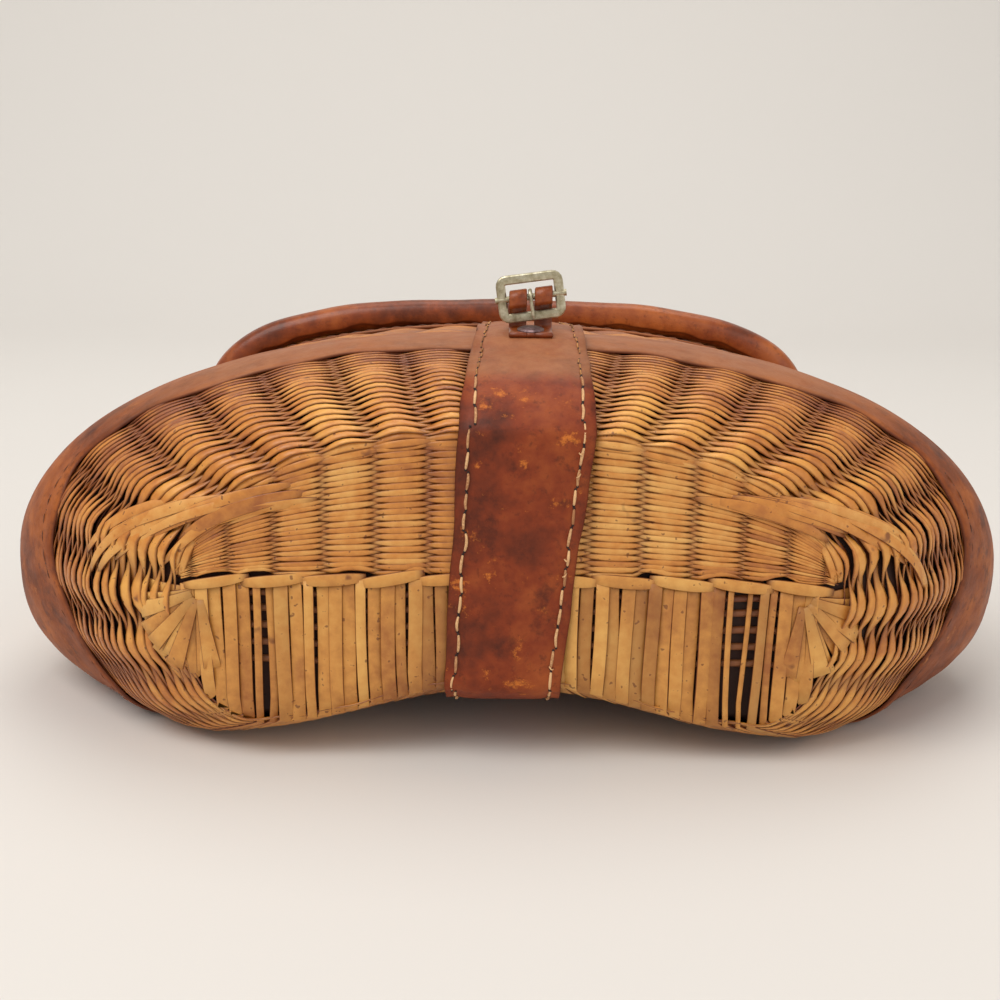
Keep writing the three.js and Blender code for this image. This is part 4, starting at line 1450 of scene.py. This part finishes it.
def chape_line(bar):
    """Middle line of the leather as y, z and share of the bar's tilt, and its outward directions."""
    wrap = BAR_RADIUS + BAR_CLEAR + CHAPE_THICK / 2
    floor = CHAPE_LOW.z + CHAPE_THICK / 2 + 0.4 * MM
    foot = np.linspace(CHAPE_LOW.y, bar[1] - 0.6 * MM, FOOT_STEPS)
    line = [(y, floor + 0.25 * MM * math.sin(i * 0.8), 0.0) for i, y in enumerate(foot)]
    back = bar[1] + wrap - CHAPE_BEND
    for t in np.linspace(0, math.pi / 2, 7):
        rise = CHAPE_BEND * (1 - math.cos(t))
        line.append((back + CHAPE_BEND * math.sin(t), floor + rise, 1.2 * t / math.pi))
    for t in np.linspace(0, math.pi, 13):
        line.append((bar[1] + wrap * math.cos(t), bar[2] + wrap * math.sin(t), 1.0))
    line += [(bar[1] - wrap, bar[2] - drop * MM, 1.0) for drop in (1.6, 3.1)]
    line = np.array(line)
    run = unit(np.gradient(line[:, :2], axis=0))
    return line, np.stack([-run[:, 1], run[:, 0]], 1)


def chape_rings(line, out, tilt, across, level):
    """Rings of leather along the line, from places across it and shares of its thickness."""
    rings = np.empty((len(line), len(across), 3))
    lift = np.array(level) * CHAPE_THICK / 2
    rings[:, :, 0] = (CHAPE_LOW.x + CHAPE_HIGH.x) / 2 + across
    rings[:, :, 1] = line[:, 0:1] + out[:, 0:1] * lift
    rings[:, :, 2] = line[:, 1:2] + out[:, 1:2] * lift + math.tan(tilt) * line[:, 2:3] * across
    return rings


def chape():
    """Leather fold round the buckle's centre bar, riveted to the strap and slotted for the prong."""
    joint = next(j for j in frame["record"]["behaviour"]["joints"] if j["name"] == "buckle_swing")
    tilt = math.atan2(-joint["axis"][2], -joint["axis"][0])
    line, out = chape_line(joint["pos_m"])
    half = (CHAPE_HIGH.x - CHAPE_LOW.x) / 2
    strands = Strands()
    for low, high in ((-half, -SLOT_HALF), (SLOT_HALF, half)):
        near, far = low + 0.3 * MM, high - 0.3 * MM
        across = np.array([low, near, far, high, high, far, near, low])
        rings = chape_rings(line, out, tilt, across, [0.5, 1, 1, 0.5, -0.5, -1, -1, -0.5])
        strands.add(rings, edge=np.array([1, 0.3, 0.3, 1, 1, 0.3, 0.3, 1.0])[None, :], tone=0)
    across = np.linspace(-SLOT_HALF * 1.02, SLOT_HALF * 1.02, 4)
    across = np.concatenate([across, across[::-1]])
    foot = slice(0, FOOT_STEPS + 1)
    rings = chape_rings(line[foot] * [1, 1, 0], out[foot], tilt, across, [0.98] * 4 + [-0.98] * 4)
    strands.add(rings, edge=0, tone=0)
    return strands.make("chape_leather", finishes()["lid"], "lid_leather", "basket", ("buckle_chape",))


METAL_NODES = ("buckle_frame", "buckle_prong", "hinge_loop_left", "hinge_loop_right", "strap_rivet")


def metal_parts():
    """Finish for the CAD's metal pieces."""
    for name in METAL_NODES:
        node = frame["nodes"][name]
        node.data.materials.clear()
        node.data.materials.append(finishes()["rivet_metal" if name == "strap_rivet" else "aged_metal"])
        node.data.shade_smooth()


# Stage, in metres: the sweep's half width, front, the end of its floor, its curve and its top.
SWEEP_HALF = 3.0
SWEEP_FRONT = -4.0
SWEEP_BACK = 0.9
SWEEP_CURVE = 0.6
SWEEP_TOP = 3.5
LIGHTS = {
    # name: place, size, share of the key light's power, colour
    "key": ((-0.9, -0.9, 1.7), 1.3, 1.0, (1.0, 0.98, 0.95)),
    "fill": ((1.3, -1.2, 0.9), 1.5, 0.28, (1.0, 0.96, 0.9)),
    "top": ((0.1, 0.5, 1.8), 1.2, 0.45, (1.0, 0.98, 0.95)),
}
LIT_POINT = Vector((0, 0, 0.06))
WORLD_COLOUR = (1.0, 0.985, 0.965, 1)
WORLD_STRENGTH = 0.5


def floor():
    """Pale cloth that sweeps up behind the part."""
    curve = [(SWEEP_BACK + SWEEP_CURVE * math.sin(t), SWEEP_CURVE - SWEEP_CURVE * math.cos(t))
             for t in np.linspace(0.1, math.pi / 2, 14)]
    profile = [(SWEEP_FRONT, 0.0), (SWEEP_BACK, 0.0), *curve, (SWEEP_BACK + SWEEP_CURVE, SWEEP_TOP)]
    points = [(x, y, z) for y, z in profile for x in (-SWEEP_HALF, SWEEP_HALF)]
    faces = [(2 * i, 2 * i + 1, 2 * i + 3, 2 * i + 2) for i in range(len(profile) - 1)]
    mesh = bpy.data.meshes.new("cloth_sweep")
    mesh.from_pydata(points, [], faces)
    mesh.shade_smooth()
    mesh.materials.append(finishes()["floor"])
    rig.stage(link("cloth_sweep", mesh))


def lights():
    """Soft area lights and a plain bright world."""
    for name, (place, size, share, colour) in LIGHTS.items():
        lamp = bpy.data.lights.new(name + "_light", "AREA")
        lamp.size = size
        lamp.energy = bpy.context.scene.creel_looks.key_power * share
        lamp.color = colour
        obj = link(name + "_light", lamp)
        obj.location = place
        obj.rotation_euler = (LIT_POINT - Vector(place)).to_track_quat("-Z", "Y").to_euler()
    world = bpy.data.worlds.new("studio")
    world.use_nodes = True
    background = world.node_tree.nodes["Background"]
    background.inputs["Color"].default_value = WORLD_COLOUR
    background.inputs["Strength"].default_value = WORLD_STRENGTH
    bpy.context.scene.world = world


def photo_camera():
    """Camera at the photograph's place, pitch and focal length."""
    looks = bpy.context.scene.creel_looks
    camera = bpy.data.cameras.new("photo_camera")
    camera.sensor_width = SENSOR
    camera.lens = FOCAL_PIXELS / IMAGE_PIXELS * SENSOR
    place = Matrix.Translation((looks.camera_side, BASE_Y - CAMERA_OUT, CAMERA_UP))
    pitch = Matrix.Rotation(math.radians(90 - CAMERA_PITCH), 4, "X")
    obj = link("photo_camera", camera)
    obj.matrix_world = place @ pitch @ Matrix.Rotation(looks.camera_roll, 4, "Z")
    bpy.context.scene.camera = obj
    bpy.context.scene.view_settings.view_transform = "Standard"


# Add-on

class CreelLooks(bpy.types.PropertyGroup):
    """Sizes and colours that a user would change."""

    willow: FloatVectorProperty(
        name="Willow", description="Middle colour of the base's willow", subtype="COLOR",
        default=linear(*WILLOWS["base"][1])[:3], min=0, max=1)
    key_power: FloatProperty(
        name="Key light", description="Power of the main light", default=24.0, min=0.0, unit="POWER")
    camera_side: FloatProperty(
        name="Camera side", description="Camera's place along X", default=-2.9 * MM, unit="LENGTH")
    camera_roll: FloatProperty(
        name="Camera roll", description="Turn of the camera about its own view",
        default=math.radians(0.7), subtype="ANGLE")


def maker(name, label, doc, *steps):
    """Operator class that runs some making steps."""
    def execute(self, context):
        for step in steps:
            step()
        return {"FINISHED"}
    return type("CREEL_OT_" + name, (bpy.types.Operator,),
                {"bl_idname": "creel." + name, "bl_label": label, "__doc__": doc, "execute": execute})


OPERATORS = (
    maker("lining", "Lining", "Makes the dark inner skin", lining),
    maker("lower_wall", "Lower wall", "Weaves the wall from the base to the belly band", lower_wall),
    maker("upper_wall", "Upper wall", "Weaves the wall from the belly band to the mouth", upper_wall),
    maker("base", "Base", "Weaves the base and lays its slats, rods and twined band",
          base_weave, edge_rows, slats, rods, twined_band, end_splits, corner_splits),
    maker("belly_band", "Belly band", "Sews the leather band round the belly", belly_band, band_stitches),
    maker("strap", "Centre strap", "Sews the centre strap", centre_strap, strap_stitches),
    maker("mouth", "Mouth", "Binds the mouth in leather", mouth_binding, mouth_stitches),
    maker("lid", "Lid", "Weaves and binds the lid", lid_core, lid_weave, lid_binding),
    maker("buckle", "Buckle", "Folds the chape and finishes the metal", chape, metal_parts),
    maker("stage", "Stage", "Lays the cloth and sets lights and camera", floor, lights, photo_camera),
)


class CREEL_PT_panel(bpy.types.Panel):
    """Lists the creel's pieces."""

    bl_label = "Creel"
    bl_idname = "CREEL_PT_panel"
    bl_space_type = "VIEW_3D"
    bl_region_type = "UI"
    bl_category = "Creel"

    def draw(self, context):
        for name in CreelLooks.__annotations__:
            self.layout.prop(context.scene.creel_looks, name)
        for operator in OPERATORS:
            self.layout.operator(operator.bl_idname)


CLASSES = (CreelLooks, *OPERATORS, CREEL_PT_panel)


def register():
    """Registers the classes and the scene's settings."""
    for cls in CLASSES:
        bpy.utils.register_class(cls)
    bpy.types.Scene.creel_looks = PointerProperty(type=CreelLooks)


def unregister():
    """Takes them away again."""
    del bpy.types.Scene.creel_looks
    for cls in reversed(CLASSES):
        bpy.utils.unregister_class(cls)


def main():
    """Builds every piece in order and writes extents.json."""
    register()
    for operator in OPERATORS:
        group, name = operator.bl_idname.split(".")
        getattr(getattr(bpy.ops, group), name)()
    plain = lambda corners: [[float(v) for v in corner] for corner in corners]
    with open("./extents.json", "w") as out:
        json.dump({"cad": plain(CAD_BOX), "visual": plain(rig.bounds())}, out)


if __name__ == "__main__":
    main()
